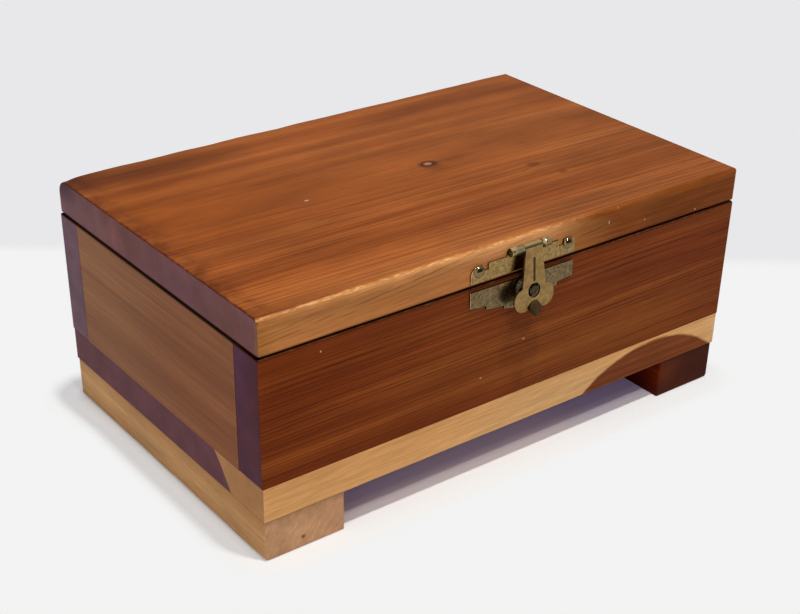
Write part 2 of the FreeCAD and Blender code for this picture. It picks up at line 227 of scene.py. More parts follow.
@dataclass(frozen=True)
class Patch:
    """A rounded place on a board: its middle and its half sizes, in millimetres."""

    middle: Triple
    half: Triple

    def far(self, put: Put, place: Socket) -> Socket:
        """Measures how far a place is from the middle.

        Args:
            put: The function that adds a node.
            place: The place on the board in millimetres.

        Returns:
            The distance, where one is the rim.
        """
        moved = put("ShaderNodeVectorMath", {0: place, 1: self.middle}, operation="SUBTRACT")
        scale = tuple(1 / side for side in self.half)
        shaped = put("ShaderNodeVectorMath", {0: moved, 1: scale}, operation="MULTIPLY")
        return put("ShaderNodeVectorMath", {0: shaped}, out="Value", operation="LENGTH")


@dataclass(frozen=True)
class Knot(Patch):
    """A knot that runs through the board, with how dark its ring is."""

    depth_of_ring: float = 1.0
    has_pale_heart: bool = False


@dataclass(frozen=True)
class Ding(Patch):
    """A small pale bruise in the varnish."""


@dataclass(frozen=True)
class Shade(Patch):
    """A soft patch of another tone, which multiplies the colour by its tint."""

    tint: Triple


@dataclass(frozen=True)
class HeartArch(Patch):
    """Heartwood that breaks out through a sapwood face, where it shows as an arch."""


@dataclass(frozen=True)
class CedarFinish:
    """Aromatic red cedar, planed along the grain and sprayed with a satin varnish.

    The eye sees fine dark late-wood lines on long grain, a dark purple-brown end grain, pale sapwood
    with a sharp border to the red heartwood, and a soft gloss that the fibres break up. A depth is how
    strongly a thing shows, and places are in millimetres in the frame.
    """

    name: str
    grain: Grain
    # Heartwood and its growth lines, which lie round the pith.
    pith: Pair
    heart: tuple[str, str, str]
    late: str
    ring_mm: float = 1.9
    late_start: float = 0.6
    late_depth: float = 0.6
    lean: Pair = (0.0, 0.0)
    wander_mm: float = 2.4
    # Sapwood and its border, which draws back along the grain.
    sap: tuple[str, str, str] = ("#a8713f", "#b98350", "#c89560")
    sap_late: str = "#8d5a30"
    sap_late_start: float = 0.66
    sap_late_depth: float = 0.45
    sap_radius: float = 1000.0
    sap_front: Union[float, None] = None
    sap_border_mm: float = 0.3
    sap_ragged_mm: float = 1.2
    sap_recede: Triple = (0.0, 1.0, 0.0)
    sap_ring_mm: float = 1.7
    sap_rise: float = 0.0
    sap_waver_mm: float = 2.6
    sap_streaks: float = 0.45
    arch: Union[HeartArch, None] = None
    # Streaks, clouds and strokes of the long grain, and the part of a board where they are calm.
    streak_depth: float = 1.0
    streak_mm: float = 0.8
    streak_tints: tuple[Triple, Triple] = ((0.74, 0.66, 0.58), (1.2, 1.22, 1.24))
    cloud_depth: float = 0.1
    stroke_depth: float = 0.0
    stroke_rise: float = 0.15
    calm: Union[Pair, None] = None
    # Cut ends, with the marks of the saw and the soaked varnish.
    end_heart: str = "#5b3d42"
    end_sap: str = "#96694a"
    saw_depth: float = 0.0
    burnt_end: Union[Pair, None] = None
    burn: str = "#401708"
    # Rubbed arrises, pale from wear and on the lid's front arris also a painted highlight, and single marks.
    arris: str = "#c98f5a"
    arris_wear_and_highlight_depth: float = 0.35
    wear_and_highlight_fade: Pair = (900.0, 901.0)
    chip_and_glint: str = "#efc48e"
    knots: tuple[Knot, ...] = ()
    knot_ring: str = "#3a1c10"
    knot_heart: str = "#b98d6c"
    dings: tuple[Ding, ...] = ()
    bruise: str = "#dcb48a"
    shades: tuple[Shade, ...] = ()

    def build(self, surface: Surface) -> bpy.types.Material:
        """Makes the material.

        Args:
            surface: Whether the face was varnished.

        Returns:
            The finished material.
        """
        material, put = fresh_material(f"{self.name}_{surface.value}")
        place, across = self._place(put)
        radius = self._radius(put, across)
        sapwood = self._sapwood(put, place, across, radius)
        late, band, fibre = self._figure(put, across, radius)
        colour = self._colour(put, across, late, band, fibre, sapwood)
        colour = self._streaks(put, colour, across, sapwood)
        colour = self._end_grain(put, colour, place, late, fibre, sapwood)
        rubbed = self._rub_and_highlight(put, place)
        colour = self._marks(put, colour, place)
        colour = self._worn_and_highlit_arrises(put, colour, place, rubbed)
        self._surface(put, surface, colour, late, fibre, rubbed)
        return material

    def _place(self, put: Put) -> tuple[Socket, Socket]:
        """Reads the place on the board in millimetres.

        Args:
            put: The function that adds a node.

        Returns:
            The plain place, and the place with the grain turned to the first axis.
        """
        place = place_in_mm(put)
        if self.grain is Grain.ALONG_X:
            return place, place
        x, y, z = put("ShaderNodeSeparateXYZ", {0: place}, out=(0, 1, 2))
        return place, put("ShaderNodeCombineXYZ", {0: y, 1: x, 2: z})

    def _radius(self, put: Put, across: Socket) -> Socket:
        """Measures the distance from the pith, with the slow wander of real grain.

        Args:
            put: The function that adds a node.
            across: The place with the grain along the first axis.

        Returns:
            The distance in millimetres, bent round the knots.
        """
        # The grain wanders over about 90 mm of length and 24 mm of width.
        wander = patches(put, across, (90.0, 24.0, 24.0), out=1)
        shift = (0.0, self.wander_mm, self.wander_mm)
        moved = put("ShaderNodeVectorMath", {0: wander, 1: shift, 2: across}, operation="MULTIPLY_ADD")
        along = put("ShaderNodeSeparateXYZ", {0: across})
        drift = put("ShaderNodeCombineXYZ", {0: along, 1: along, 2: along})
        lean = (-1.0, -self.lean[0], -self.lean[1])
        moved = put("ShaderNodeVectorMath", {0: drift, 1: lean, 2: moved}, operation="MULTIPLY_ADD")
        middle = (0.0, self.pith[0] + self.wander_mm / 2, self.pith[1] + self.wander_mm / 2)
        moved = put("ShaderNodeVectorMath", {0: moved, 1: middle}, operation="SUBTRACT")
        flat = put("ShaderNodeVectorMath", {0: moved, 1: (0.0, 1.0, 1.0)}, operation="MULTIPLY")
        radius = put("ShaderNodeVectorMath", {0: flat}, out="Value", operation="LENGTH")
        for knot in self.knots:
            # The lines bulge out by a little more than the knot, and lie straight at 4.5 times its size.
            far = knot.far(put, across)
            inputs = {0: far, 1: 0.4, 2: 4.5, 3: knot.half[1] * 1.1, 4: 0.0}
            bulge = put("ShaderNodeMapRange", inputs, **SMOOTH)
            radius = put("ShaderNodeMath", {0: radius, 1: bulge}, operation="ADD")
        return radius

    def _sapwood(self, put: Put, place: Socket, across: Socket, radius: Socket) -> Socket:
        """Parts sapwood from heartwood, at a ring of the tree or at an upright border.

        Args:
            put: The function that adds a node.
            place: The place on the board in millimetres.
            across: The same place with the grain along the first axis.
            radius: The distance from the pith in millimetres.

        Returns:
            One in sapwood and nought in heartwood.
        """
        start, stop, reach = self.sap_recede
        along, depth = put("ShaderNodeSeparateXYZ", {0: across}, out=(0, 1))
        border, measure = self.sap_radius, radius
        if self.sap_front is not None:
            # The border follows fibres that are about 60 mm long and 1.6 mm thick.
            ragged = self.sap_ragged_mm
            uneven = patches(put, across, (60.0, math.inf, 1.6), 3.0)
            border = ragged / 2 - self.sap_front
            measure = put("ShaderNodeMath", {0: uneven, 1: ragged, 2: depth}, operation="MULTIPLY_ADD")
            measure = put("ShaderNodeMath", {0: ragged, 1: measure}, operation="SUBTRACT")
        inputs = {0: along, 1: start, 2: stop, 3: border, 4: border + reach}
        recede = put("ShaderNodeMapRange", inputs, **SMOOTH)
        beyond = put("ShaderNodeMath", {0: measure, 1: recede}, operation="SUBTRACT")
        width = self.sap_border_mm
        mask = put("ShaderNodeMapRange", {0: beyond, 1: -width, 2: width}, **SMOOTH)
        if self.arch is None:
            return mask
        # The arch's edge is uneven over about 8 mm.
        rough = patches(put, place, (8.333, 8.333, 8.333))
        far = self.arch.far(put, place)
        far = put("ShaderNodeMath", {0: rough, 1: 0.03, 2: far}, operation="MULTIPLY_ADD")
        inside = put("ShaderNodeMapRange", {0: far, 1: 1.025, 2: 1.0}, **SMOOTH)
        return put("ShaderNodeMath", {0: mask, 1: inside}, operation="SUBTRACT", use_clamp=True)

    def _lines(self, put: Put, measure: Socket, spacing: float, start: float) -> Socket:
        """Draws late-wood lines.

        Args:
            put: The function that adds a node.
            measure: The distance in millimetres that the lines are counted along.
            spacing: The mean distance between lines in millimetres.
            start: The share of a year's growth after which it darkens.

        Returns:
            The strength of the line, from nought to one.
        """
        # Good and bad years come in runs about 7 mm thick, and move the lines by up to 3 mm.
        years = put("ShaderNodeMath", {0: measure, 1: 1 / 7}, operation="MULTIPLY")
        uneven = put("ShaderNodeTexNoise", {"W": years, "Scale": 1.0, "Detail": 2.0}, noise_dimensions="1D")
        grown = put("ShaderNodeMath", {0: uneven, 1: 3.0, 2: measure}, operation="MULTIPLY_ADD")
        year = put("ShaderNodeMath", {0: grown, 1: spacing}, operation="DIVIDE")
        part = put("ShaderNodeMath", {0: year}, operation="FRACT")
        number = put("ShaderNodeMath", {0: year}, operation="FLOOR")
        chance = put("ShaderNodeTexWhiteNoise", {"W": number}, noise_dimensions="1D")
        levels = ((0.0, 0.15), (0.08, 0.0), (start, 0.1), (0.88, 1.0), (1.0, 0.15))
        stops = [(share, grey(level)) for share, level in levels]
        line = put("ShaderNodeValToRGB", {0: part}, stops=stops)
        strength = put("ShaderNodeMapRange", {0: chance, 3: 0.2, 4: 1.0})
        return put("ShaderNodeMath", {0: line, 1: strength}, operation="MULTIPLY")

    def _sap_lines(self, put: Put, across: Socket) -> Socket:
        """Draws the thin lines on sapwood, which rise along the grain and waver over about 20 mm.

        Args:
            put: The function that adds a node.
            across: The place with the grain along the first axis.

        Returns:
            The strength of the line, from nought to one.
        """
        waver = patches(put, across, (20.0, 6.0, 6.0))
        slope = (-self.sap_rise, 0.25, 1.0)
        height = put("ShaderNodeVectorMath", {0: across, 1: slope}, out="Value", operation="DOT_PRODUCT")
        height = put("ShaderNodeMath", {0: waver, 1: self.sap_waver_mm, 2: height}, operation="MULTIPLY_ADD")
        line = self._lines(put, height, self.sap_ring_mm, self.sap_late_start)
        # Each line breaks into strokes about 11 mm long.
        broken = patches(put, across, (11.0, 2.0, 1.6))
        broken = put("ShaderNodeMapRange", {0: broken, 1: 0.4, 2: 0.58, 3: 0.1, 4: 1.0})
        return put("ShaderNodeMath", {0: line, 1: broken}, operation="MULTIPLY")

    def _figure(self, put: Put, across: Socket, radius: Socket) -> tuple[Socket, Socket, Socket]:
        """Draws the wood's figure, each part from nought to one.

        Args:
            put: The function that adds a node.
            across: The place with the grain along the first axis.
            radius: The distance from the pith in millimetres.

        Returns:
            The late-wood lines, the broad bands of colour and the fibres.
        """
        late = self._lines(put, radius, self.ring_mm, self.late_start)
        along = put("ShaderNodeSeparateXYZ", {0: across})
        run = put("ShaderNodeCombineXYZ", {0: along, 1: radius})
        # A line fades and comes back over about 30 mm, and not with the lines 1.5 mm away.
        faded = patches(put, run, (30.0, 1.5, math.inf))
        faded = put("ShaderNodeMapRange", {0: faded, 1: 0.35, 2: 0.6, 3: 0.3, 4: 1.1})
        late = put("ShaderNodeMath", {0: late, 1: faded}, operation="MULTIPLY", use_clamp=True)
        if self.calm is not None:
            kept = put("ShaderNodeMath", {0: 1.0, 1: self._calmed(put, across)}, operation="SUBTRACT")
            late = put("ShaderNodeMath", {0: late, 1: kept}, operation="MULTIPLY")
        # Bands of colour are about 8 mm thick and run the length of the board.
        band = patches(put, run, (240.0, 8.0, math.inf), 3.0)
        band = put("ShaderNodeMapRange", {0: band, 1: 0.3, 2: 0.7})
        # Fibres are far finer than this. They are drawn 0.4 mm wide and 16 mm long so that they show.
        fibre = patches(put, across, (16.0, 0.4, 0.4), 3.0, Roughness=0.6)
        return late, band, fibre

    def _calmed(self, put: Put, across: Socket) -> Socket:
        """Makes the figure fainter across the board.

        Args:
            put: The function that adds a node.
            across: The place with the grain along the first axis.

        Returns:
            How much fainter it is, from nought where the calm part starts.
        """
        start, stop = self.calm
        depth = put("ShaderNodeSeparateXYZ", {0: across}, out=1)
        return put("ShaderNodeMapRange", {0: depth, 1: start, 2: stop, 4: 0.75}, **SMOOTH)

    def _colour(
        self, put: Put, across: Socket, late: Socket, band: Socket, fibre: Socket, sapwood: Socket
    ) -> Socket:
        """Colours the long grain.

        Args:
            put: The function that adds a node.
            across: The place with the grain along the first axis.
            late: The heartwood's late-wood lines.
            band: The broad bands of colour.
            fibre: The fibres.
            sapwood: One in sapwood and nought in heartwood.

        Returns:
            The colour.
        """
        made = []
        kinds = (
            (self.heart, self.late, self.late_depth, late),
            (self.sap, self.sap_late, self.sap_late_depth, self._sap_lines(put, across)),
        )
        for tones, line, depth, strength in kinds:
            stops = [(share, linear(tone)) for share, tone in zip((0.0, 0.5, 1.0), tones)]
            base = put("ShaderNodeValToRGB", {0: band}, stops=stops)
            amount = put("ShaderNodeMath", {0: strength, 1: depth}, operation="MULTIPLY")
            made.append(put("ShaderNodeMix", {0: amount, 6: base, 7: linear(line)}, **BLEND))
        both = put("ShaderNodeMix", {0: sapwood, 6: made[0], 7: made[1]}, **BLEND)
        return toned(put, both, fibre, (0.25, 0.75), (0.84, 1.14))

    def _streaks(self, put: Put, colour: Socket, across: Socket, sapwood: Socket) -> Socket:
        """Lays dark and light streaks along the grain, the dark ones redder and sapwood's fainter.

        Args:
            put: The function that adds a node.
            colour: The colour so far.
            across: The place with the grain along the first axis.
            sapwood: One in sapwood and nought in heartwood.

        Returns:
            The streaked colour.
        """
        # Streaks of resin and varnish are under a millimetre wide and about 110 mm long.
        streak = patches(put, across, (110.0, self.streak_mm, self.streak_mm), 3.0, Roughness=0.6)
        half = 0.22 / self.streak_depth
        streak = put("ShaderNodeMapRange", {0: streak, 1: 0.5 - half, 2: 0.5 + half})
        dark, light = ((*tint, 1.0) for tint in self.streak_tints)
        tint = put("ShaderNodeMix", {0: streak, 6: dark, 7: light}, **BLEND)
        fainter = put("ShaderNodeMath", {0: sapwood, 1: 1 - self.sap_streaks}, operation="MULTIPLY")
        if self.calm is not None:
            fainter = put("ShaderNodeMath", {0: fainter, 1: self._calmed(put, across)}, operation="MAXIMUM")
        tint = put("ShaderNodeMix", {0: fainter, 6: tint, 7: grey(1.0)}, **BLEND)
        colour = put("ShaderNodeVectorMath", {0: colour, 1: tint}, operation="MULTIPLY")
        # Clouds of darker and lighter wood are about 45 mm long and 13 mm wide.
        cloud = patches(put, across, (45.0, 13.0, 13.0))
        colour = toned(put, colour, cloud, (0.3, 0.7), (1 - self.cloud_depth, 1 + self.cloud_depth))
        return self._strokes(put, colour, across) if self.stroke_depth else colour

    def _strokes(self, put: Put, colour: Socket, across: Socket) -> Socket:
        """Lays short wavy strokes over the long grain, which climb as they run along it.

        Args:
            put: The function that adds a node.
            colour: The colour so far.
            across: The place with the grain along the first axis.

        Returns:
            The colour with its strokes.
        """
        along, depth, height = put("ShaderNodeSeparateXYZ", {0: across}, out=(0, 1, 2))
        level = put("ShaderNodeMath", {0: along, 1: -self.stroke_rise, 2: height}, operation="MULTIPLY_ADD")
        climbed = put("ShaderNodeCombineXYZ", {0: along, 1: depth, 2: level})
        # The strokes are about 9 mm long and 1.3 mm wide.
        stroke = patches(put, climbed, (9.0, 1.3, 1.3), 3.0, Distortion=0.7)
        return toned(put, colour, stroke, (0.32, 0.66), (1 - self.stroke_depth, 1 + self.stroke_depth))

    def _end_grain(
        self, put: Put, colour: Socket, place: Socket, late: Socket, fibre: Socket, sapwood: Socket
    ) -> Socket:
        """Puts the darker end grain on faces that cut across the fibres.

        Args:
            put: The function that adds a node.
            colour: The colour of the long grain.
            place: The place on the board in millimetres.
            late: The late-wood lines.
            fibre: The fibres.
            sapwood: One in sapwood and nought in heartwood.

        Returns:
            The colour of every face.
        """
        facing = put("ShaderNodeTexCoord", {}, out="Normal")
        ends = put("ShaderNodeSeparateXYZ", {0: facing}, out=self.grain.value)
        ends = put("ShaderNodeMath", {0: ends}, operation="ABSOLUTE")
        ends = put("ShaderNodeMapRange", {0: ends, 1: 0.72, 2: 0.92}, **SMOOTH)
        inputs = {0: sapwood, 6: linear(self.end_heart), 7: linear(self.end_sap)}
        cut = put("ShaderNodeMix", inputs, **BLEND)
        cut = toned(put, cut, late, (0.0, 1.0), (1.03, 0.9))
        # Varnish soaks into cut ends in patches about 9 mm wide.
        soaked = patches(put, place, (9.0, 9.0, 9.0), 3.0)
        cut = toned(put, cut, soaked, (0.3, 0.7), (0.84, 1.16))
        cut = toned(put, cut, fibre, (0.3, 0.7), (0.94, 1.05))
        if self.saw_depth:
            # A coarse saw leaves slanting scratches about 3 mm long and 1.2 mm wide.
            slants = ((0.19, 0.0, 0.27), (-0.68, 0.0, 0.48))
            run, side = (
                put("ShaderNodeVectorMath", {0: place, 1: slant}, out="Value", operation="DOT_PRODUCT")
                for slant in slants
            )
            drawn = put("ShaderNodeCombineXYZ", {0: run, 1: side})
            inputs = {"Vector": drawn, "Scale": 1.0, "Detail": 4.0, "Distortion": 0.6}
            saw = put("ShaderNodeTexNoise", inputs)
            cut = toned(put, cut, saw, (0.35, 0.68), (1 - self.saw_depth, 1 + self.saw_depth))
        return put("ShaderNodeMix", {0: ends, 6: colour, 7: cut}, **BLEND)

    def _rub_and_highlight(self, put: Put, place: Socket) -> Socket:
        """Measures how far hands rubbed the arrises, and where the lid's painted highlight lies along its
        front arris.

        Args:
            put: The function that adds a node.
            place: The place on the board in millimetres.

        Returns:
            The wear with the painted highlight, from nought to one.
        """
        arris = put("ShaderNodeAttribute", {}, out="Fac", attribute_name="arris")
        # Hands rub the arrises in patches about 14 mm long.
        patch = patches(put, place, (14.0, 14.0, 14.0), 4.0, Roughness=0.65)
        patch = put("ShaderNodeMapRange", {0: patch, 1: 0.3, 2: 0.65, 3: 0.35})
        rubbed = put("ShaderNodeMath", {0: arris, 1: patch}, operation="MULTIPLY")
        along = put("ShaderNodeSeparateXYZ", {0: place})
        start, stop = self.wear_and_highlight_fade
        kept = put("ShaderNodeMapRange", {0: along, 1: stop, 2: start}, **SMOOTH)
        return put("ShaderNodeMath", {0: rubbed, 1: kept}, operation="MULTIPLY")

    def _marks(self, put: Put, colour: Socket, place: Socket) -> Socket:
        """Adds knots, shades, the burnt end and bruises.

        Args:
            put: The function that adds a node.
            colour: The colour so far.
            place: The place on the board in millimetres.

        Returns:
            The marked colour.
        """
        for knot in self.knots:
            far = knot.far(put, place)
            middle = [(0.0, 0.0), (0.3, 0.15)] if knot.has_pale_heart else [(0.0, 0.8), (0.4, 0.9)]
            levels = [*middle, (0.5, 1.0), (0.62, 0.5), (1.0, 0.0)]
            # The ring's shares go out to twice the knot's size.
            spread = put("ShaderNodeMath", {0: far, 1: 0.5}, operation="MULTIPLY")
            stops = [(share, grey(level)) for share, level in levels]
            ring = put("ShaderNodeValToRGB", {0: spread}, stops=stops)
            ring = put("ShaderNodeMath", {0: ring, 1: knot.depth_of_ring}, operation="MULTIPLY")
            if knot.has_pale_heart:
                heart = put("ShaderNodeMapRange", {0: far, 1: 0.75, 2: 0.35, 4: 0.8})
                colour = put("ShaderNodeMix", {0: heart, 6: colour, 7: linear(self.knot_heart)}, **BLEND)
            colour = put("ShaderNodeMix", {0: ring, 6: colour, 7: linear(self.knot_ring)}, **BLEND)
        for shade in self.shades:
            outside = put("ShaderNodeMapRange", {0: shade.far(put, place), 1: 0.1, 2: 1.0}, **SMOOTH)
            tint = put("ShaderNodeMix", {0: outside, 6: (*shade.tint, 1.0), 7: grey(1.0)}, **BLEND)
            colour = put("ShaderNodeVectorMath", {0: colour, 1: tint}, operation="MULTIPLY")
        if self.burnt_end is not None:
            colour = self._burn(put, colour, place)
        for ding in self.dings:
            amount = put("ShaderNodeMapRange", {0: ding.far(put, place), 1: 0.8, 2: 0.3, 4: 0.75})
            colour = put("ShaderNodeMix", {0: amount, 6: colour, 7: linear(self.bruise)}, **BLEND)
        return colour

    def _worn_and_highlit_arrises(self, put: Put, colour: Socket, place: Socket, rubbed: Socket) -> Socket:
        """Pales the rubbed arrises and chips their varnish, which on the lid's front arris also paints a
        highlight.

        Args:
            put: The function that adds a node.
            colour: The colour so far.
            place: The place on the board in millimetres.
            rubbed: How far hands rubbed the arrises, with the painted highlight on the lid.

        Returns:
            The worn colour.
        """
        amount = put("ShaderNodeMath", {0: rubbed, 1: self.arris_wear_and_highlight_depth}, operation="MULTIPLY")
        colour = put("ShaderNodeMix", {0: amount, 6: colour, 7: linear(self.arris)}, **BLEND)
        # Chips in the varnish of a rubbed arris, on the lid also glints of the painted highlight, are about
        # 2.5 mm long and 0.4 mm wide.
        chip_and_glint = patches(put, place, (2.5, 0.4, 0.4))
        chip_and_glint = put("ShaderNodeMapRange", {0: chip_and_glint, 1: 0.5, 2: 0.62, 4: self.arris_wear_and_highlight_depth})
        chip_and_glint = put("ShaderNodeMath", {0: chip_and_glint, 1: rubbed}, operation="MULTIPLY")
        return put("ShaderNodeMix", {0: chip_and_glint, 6: colour, 7: linear(self.chip_and_glint)}, **BLEND)

    def _burn(self, put: Put, colour: Socket, place: Socket) -> Socket:
        """Darkens the top where varnish soaked into the cut end: a soft zone and a ragged line.

        Args:
            put: The function that adds a node.
            colour: The colour so far.
            place: The place on the board in millimetres.

        Returns:
            The darkened colour.
        """
        end, width = self.burnt_end
        along = put("ShaderNodeSeparateXYZ", {0: place})
        inward = put("ShaderNodeMath", {0: along, 1: end}, operation="SUBTRACT")
        # The ragged edge of the line has teeth about 2.5 mm long.
        teeth = patches(put, place, (2.5, 2.5, 2.5), 4.0, Roughness=0.7)
        ragged = put("ShaderNodeMath", {0: teeth, 1: -2.6 * width, 2: inward}, operation="MULTIPLY_ADD")
        line = put("ShaderNodeMapRange", {0: ragged, 1: -0.2 * width, 2: -1.1 * width, 4: 0.85})
        soft = put("ShaderNodeMapRange", {0: inward, 1: 11 * width, 2: 0.0, 4: 0.6}, **SMOOTH)
        # The soft zone runs inward in tongues about 5 mm wide.
        tongues = patches(put, place, (5.0, 5.0, 5.0), 4.0, Roughness=0.6)
        tongues = put("ShaderNodeMapRange", {0: tongues, 1: 0.4, 2: 0.62, 3: 0.2, 4: 1.0})
        soft = put("ShaderNodeMath", {0: soft, 1: tongues}, operation="MULTIPLY")
        dark = put("ShaderNodeMath", {0: line, 1: soft}, operation="MAXIMUM")
        facing = put("ShaderNodeTexCoord", {}, out="Normal")
        up = put("ShaderNodeSeparateXYZ", {0: facing}, out=2)
        upper = put("ShaderNodeMapRange", {0: up, 1: 0.3, 2: 0.6})
        dark = put("ShaderNodeMath", {0: dark, 1: upper}, operation="MULTIPLY")
        return put("ShaderNodeMix", {0: dark, 6: colour, 7: linear(self.burn)}, **BLEND)

    def _surface(
        self, put: Put, surface: Surface, colour: Socket, late: Socket, fibre: Socket, rubbed: Socket
    ) -> None:
        """Ends the tree in a varnished or a bare surface, glossier where an arris was rubbed.

        Args:
            put: The function that adds a node.
            surface: Whether the face was varnished.
            colour: The finished colour.
            late: The late-wood lines.
            fibre: The fibres.
            rubbed: How far hands rubbed the arrises.
        """
        varnished = surface is Surface.VARNISHED
        relief = put("ShaderNodeMath", {0: late, 1: 0.5, 2: fibre}, operation="MULTIPLY_ADD")
        # Planing leaves fibres and late wood about 0.02 mm proud, and bare wood shows more of it.
        strength = 0.25 if varnished else 0.6
        bump = put("ShaderNodeBump", {"Strength": strength, "Distance": 0.04 * MM, "Height": relief})
        low, high = (0.36, 0.5) if varnished else (0.7, 0.85)
        rough = put("ShaderNodeMapRange", {0: fibre, 1: 0.3, 2: 0.7, 3: low, 4: high})
        inputs = {"Base Color": colour, "Roughness": rough, "IOR": 1.5, "Normal": bump}
        # The open pores of cedar swallow most of the wood's own shine, and the varnish adds the gloss.
        inputs["Specular IOR Level"] = 0.015
        if varnished:
            gloss = put("ShaderNodeMapRange", {0: rubbed, 3: 0.05, 4: 0.35})
            inputs.update({"Coat Weight": gloss, "Coat Roughness": 0.3, "Coat IOR": 1.5})
        shader = put("ShaderNodeBsdfPrincipled", inputs)
        put("ShaderNodeOutputMaterial", {0: shader})


@dataclass(frozen=True)
class MetalFinish:
    """Brass sheet, pressed, darkened with an antiquing bath and rubbed bright on its high edges.

    The eye sees a tan metal with fine olive and brown mottling, paler rims and dark hollows, with painted
    light and shade on the barrels and a painted dark reflection on the finger lift. The steel of the brads
    dulled in patches of the same kind, and differs in its tones.
    """

    name: str
    bright: str = "#a8945f"
    dull: str = "#6d5c36"
    rim: str = "#c9b682"
    roughness: Pair = (0.32, 0.5)
    blotch_mm: float = 0.9
    rim_depth: float = 0.6
    dark_hollow_and_shade: str = "#1d160c"
    dark_hollow_and_shade_depth: float = 0.85
    speck: str = "#3b3220"

    def build(self) -> bpy.types.Material:
        """Makes the material.

        Returns:
            The finished material.
        """
        material, put = fresh_material(self.name)
        place = place_in_mm(put)
        blotch = patches(put, place, (self.blotch_mm, self.blotch_mm, self.blotch_mm), 4.0, Roughness=0.6)
        stops = ((0.3, linear(self.dull)), (0.7, linear(self.bright)))
        colour = put("ShaderNodeValToRGB", {0: blotch}, stops=stops)
        # Specks of the bath that stayed in pits, about 0.3 mm across.
        speck = patches(put, place, (0.3, 0.3, 0.3))
        speck = put("ShaderNodeMapRange", {0: speck, 1: 0.6, 2: 0.72, 4: 0.55})
        colour = put("ShaderNodeMix", {0: speck, 6: colour, 7: linear(self.speck)}, **BLEND)
        # The rim is above nought where the metal was rubbed and where a barrel has a painted highlight, and
        # below it in hollows and where painted shade or a painted dark reflection lies.
        rim = put("ShaderNodeAttribute", {}, out="Fac", attribute_name="rim")
        dark_hollow_and_shade = put("ShaderNodeMath", {0: rim, 1: -self.dark_hollow_and_shade_depth}, operation="MULTIPLY", use_clamp=True)
        rim = put("ShaderNodeMath", {0: rim, 1: self.rim_depth}, operation="MULTIPLY", use_clamp=True)
        colour = put("ShaderNodeMix", {0: rim, 6: colour, 7: linear(self.rim)}, **BLEND)
        colour = put("ShaderNodeMix", {0: dark_hollow_and_shade, 6: colour, 7: linear(self.dark_hollow_and_shade)}, **BLEND)
        # Handling scratches, 0.15 mm wide and 4 mm long, run along the sheet.
        scratch = patches(put, place, (4.0, 0.15, 0.15))
        low, high = self.roughness
        rough = put("ShaderNodeMapRange", {0: blotch, 1: 0.3, 2: 0.7, 3: high, 4: low})
        height = put("ShaderNodeMath", {0: scratch, 1: 0.4, 2: blotch}, operation="MULTIPLY_ADD")
        bump = put("ShaderNodeBump", {"Strength": 0.3, "Distance": 0.03 * MM, "Height": height})
        inputs = {"Base Color": colour, "Metallic": 1.0, "Roughness": rough, "Normal": bump}
        shader = put("ShaderNodeBsdfPrincipled", inputs)
        put("ShaderNodeOutputMaterial", {0: shader})
        return material


@dataclass(frozen=True)
class Nick:
    """A dent in an arris: the arris, its place along the grain, and its width and extra rounding in mm."""

    arris: int
    along: float
    width: float
    depth: float


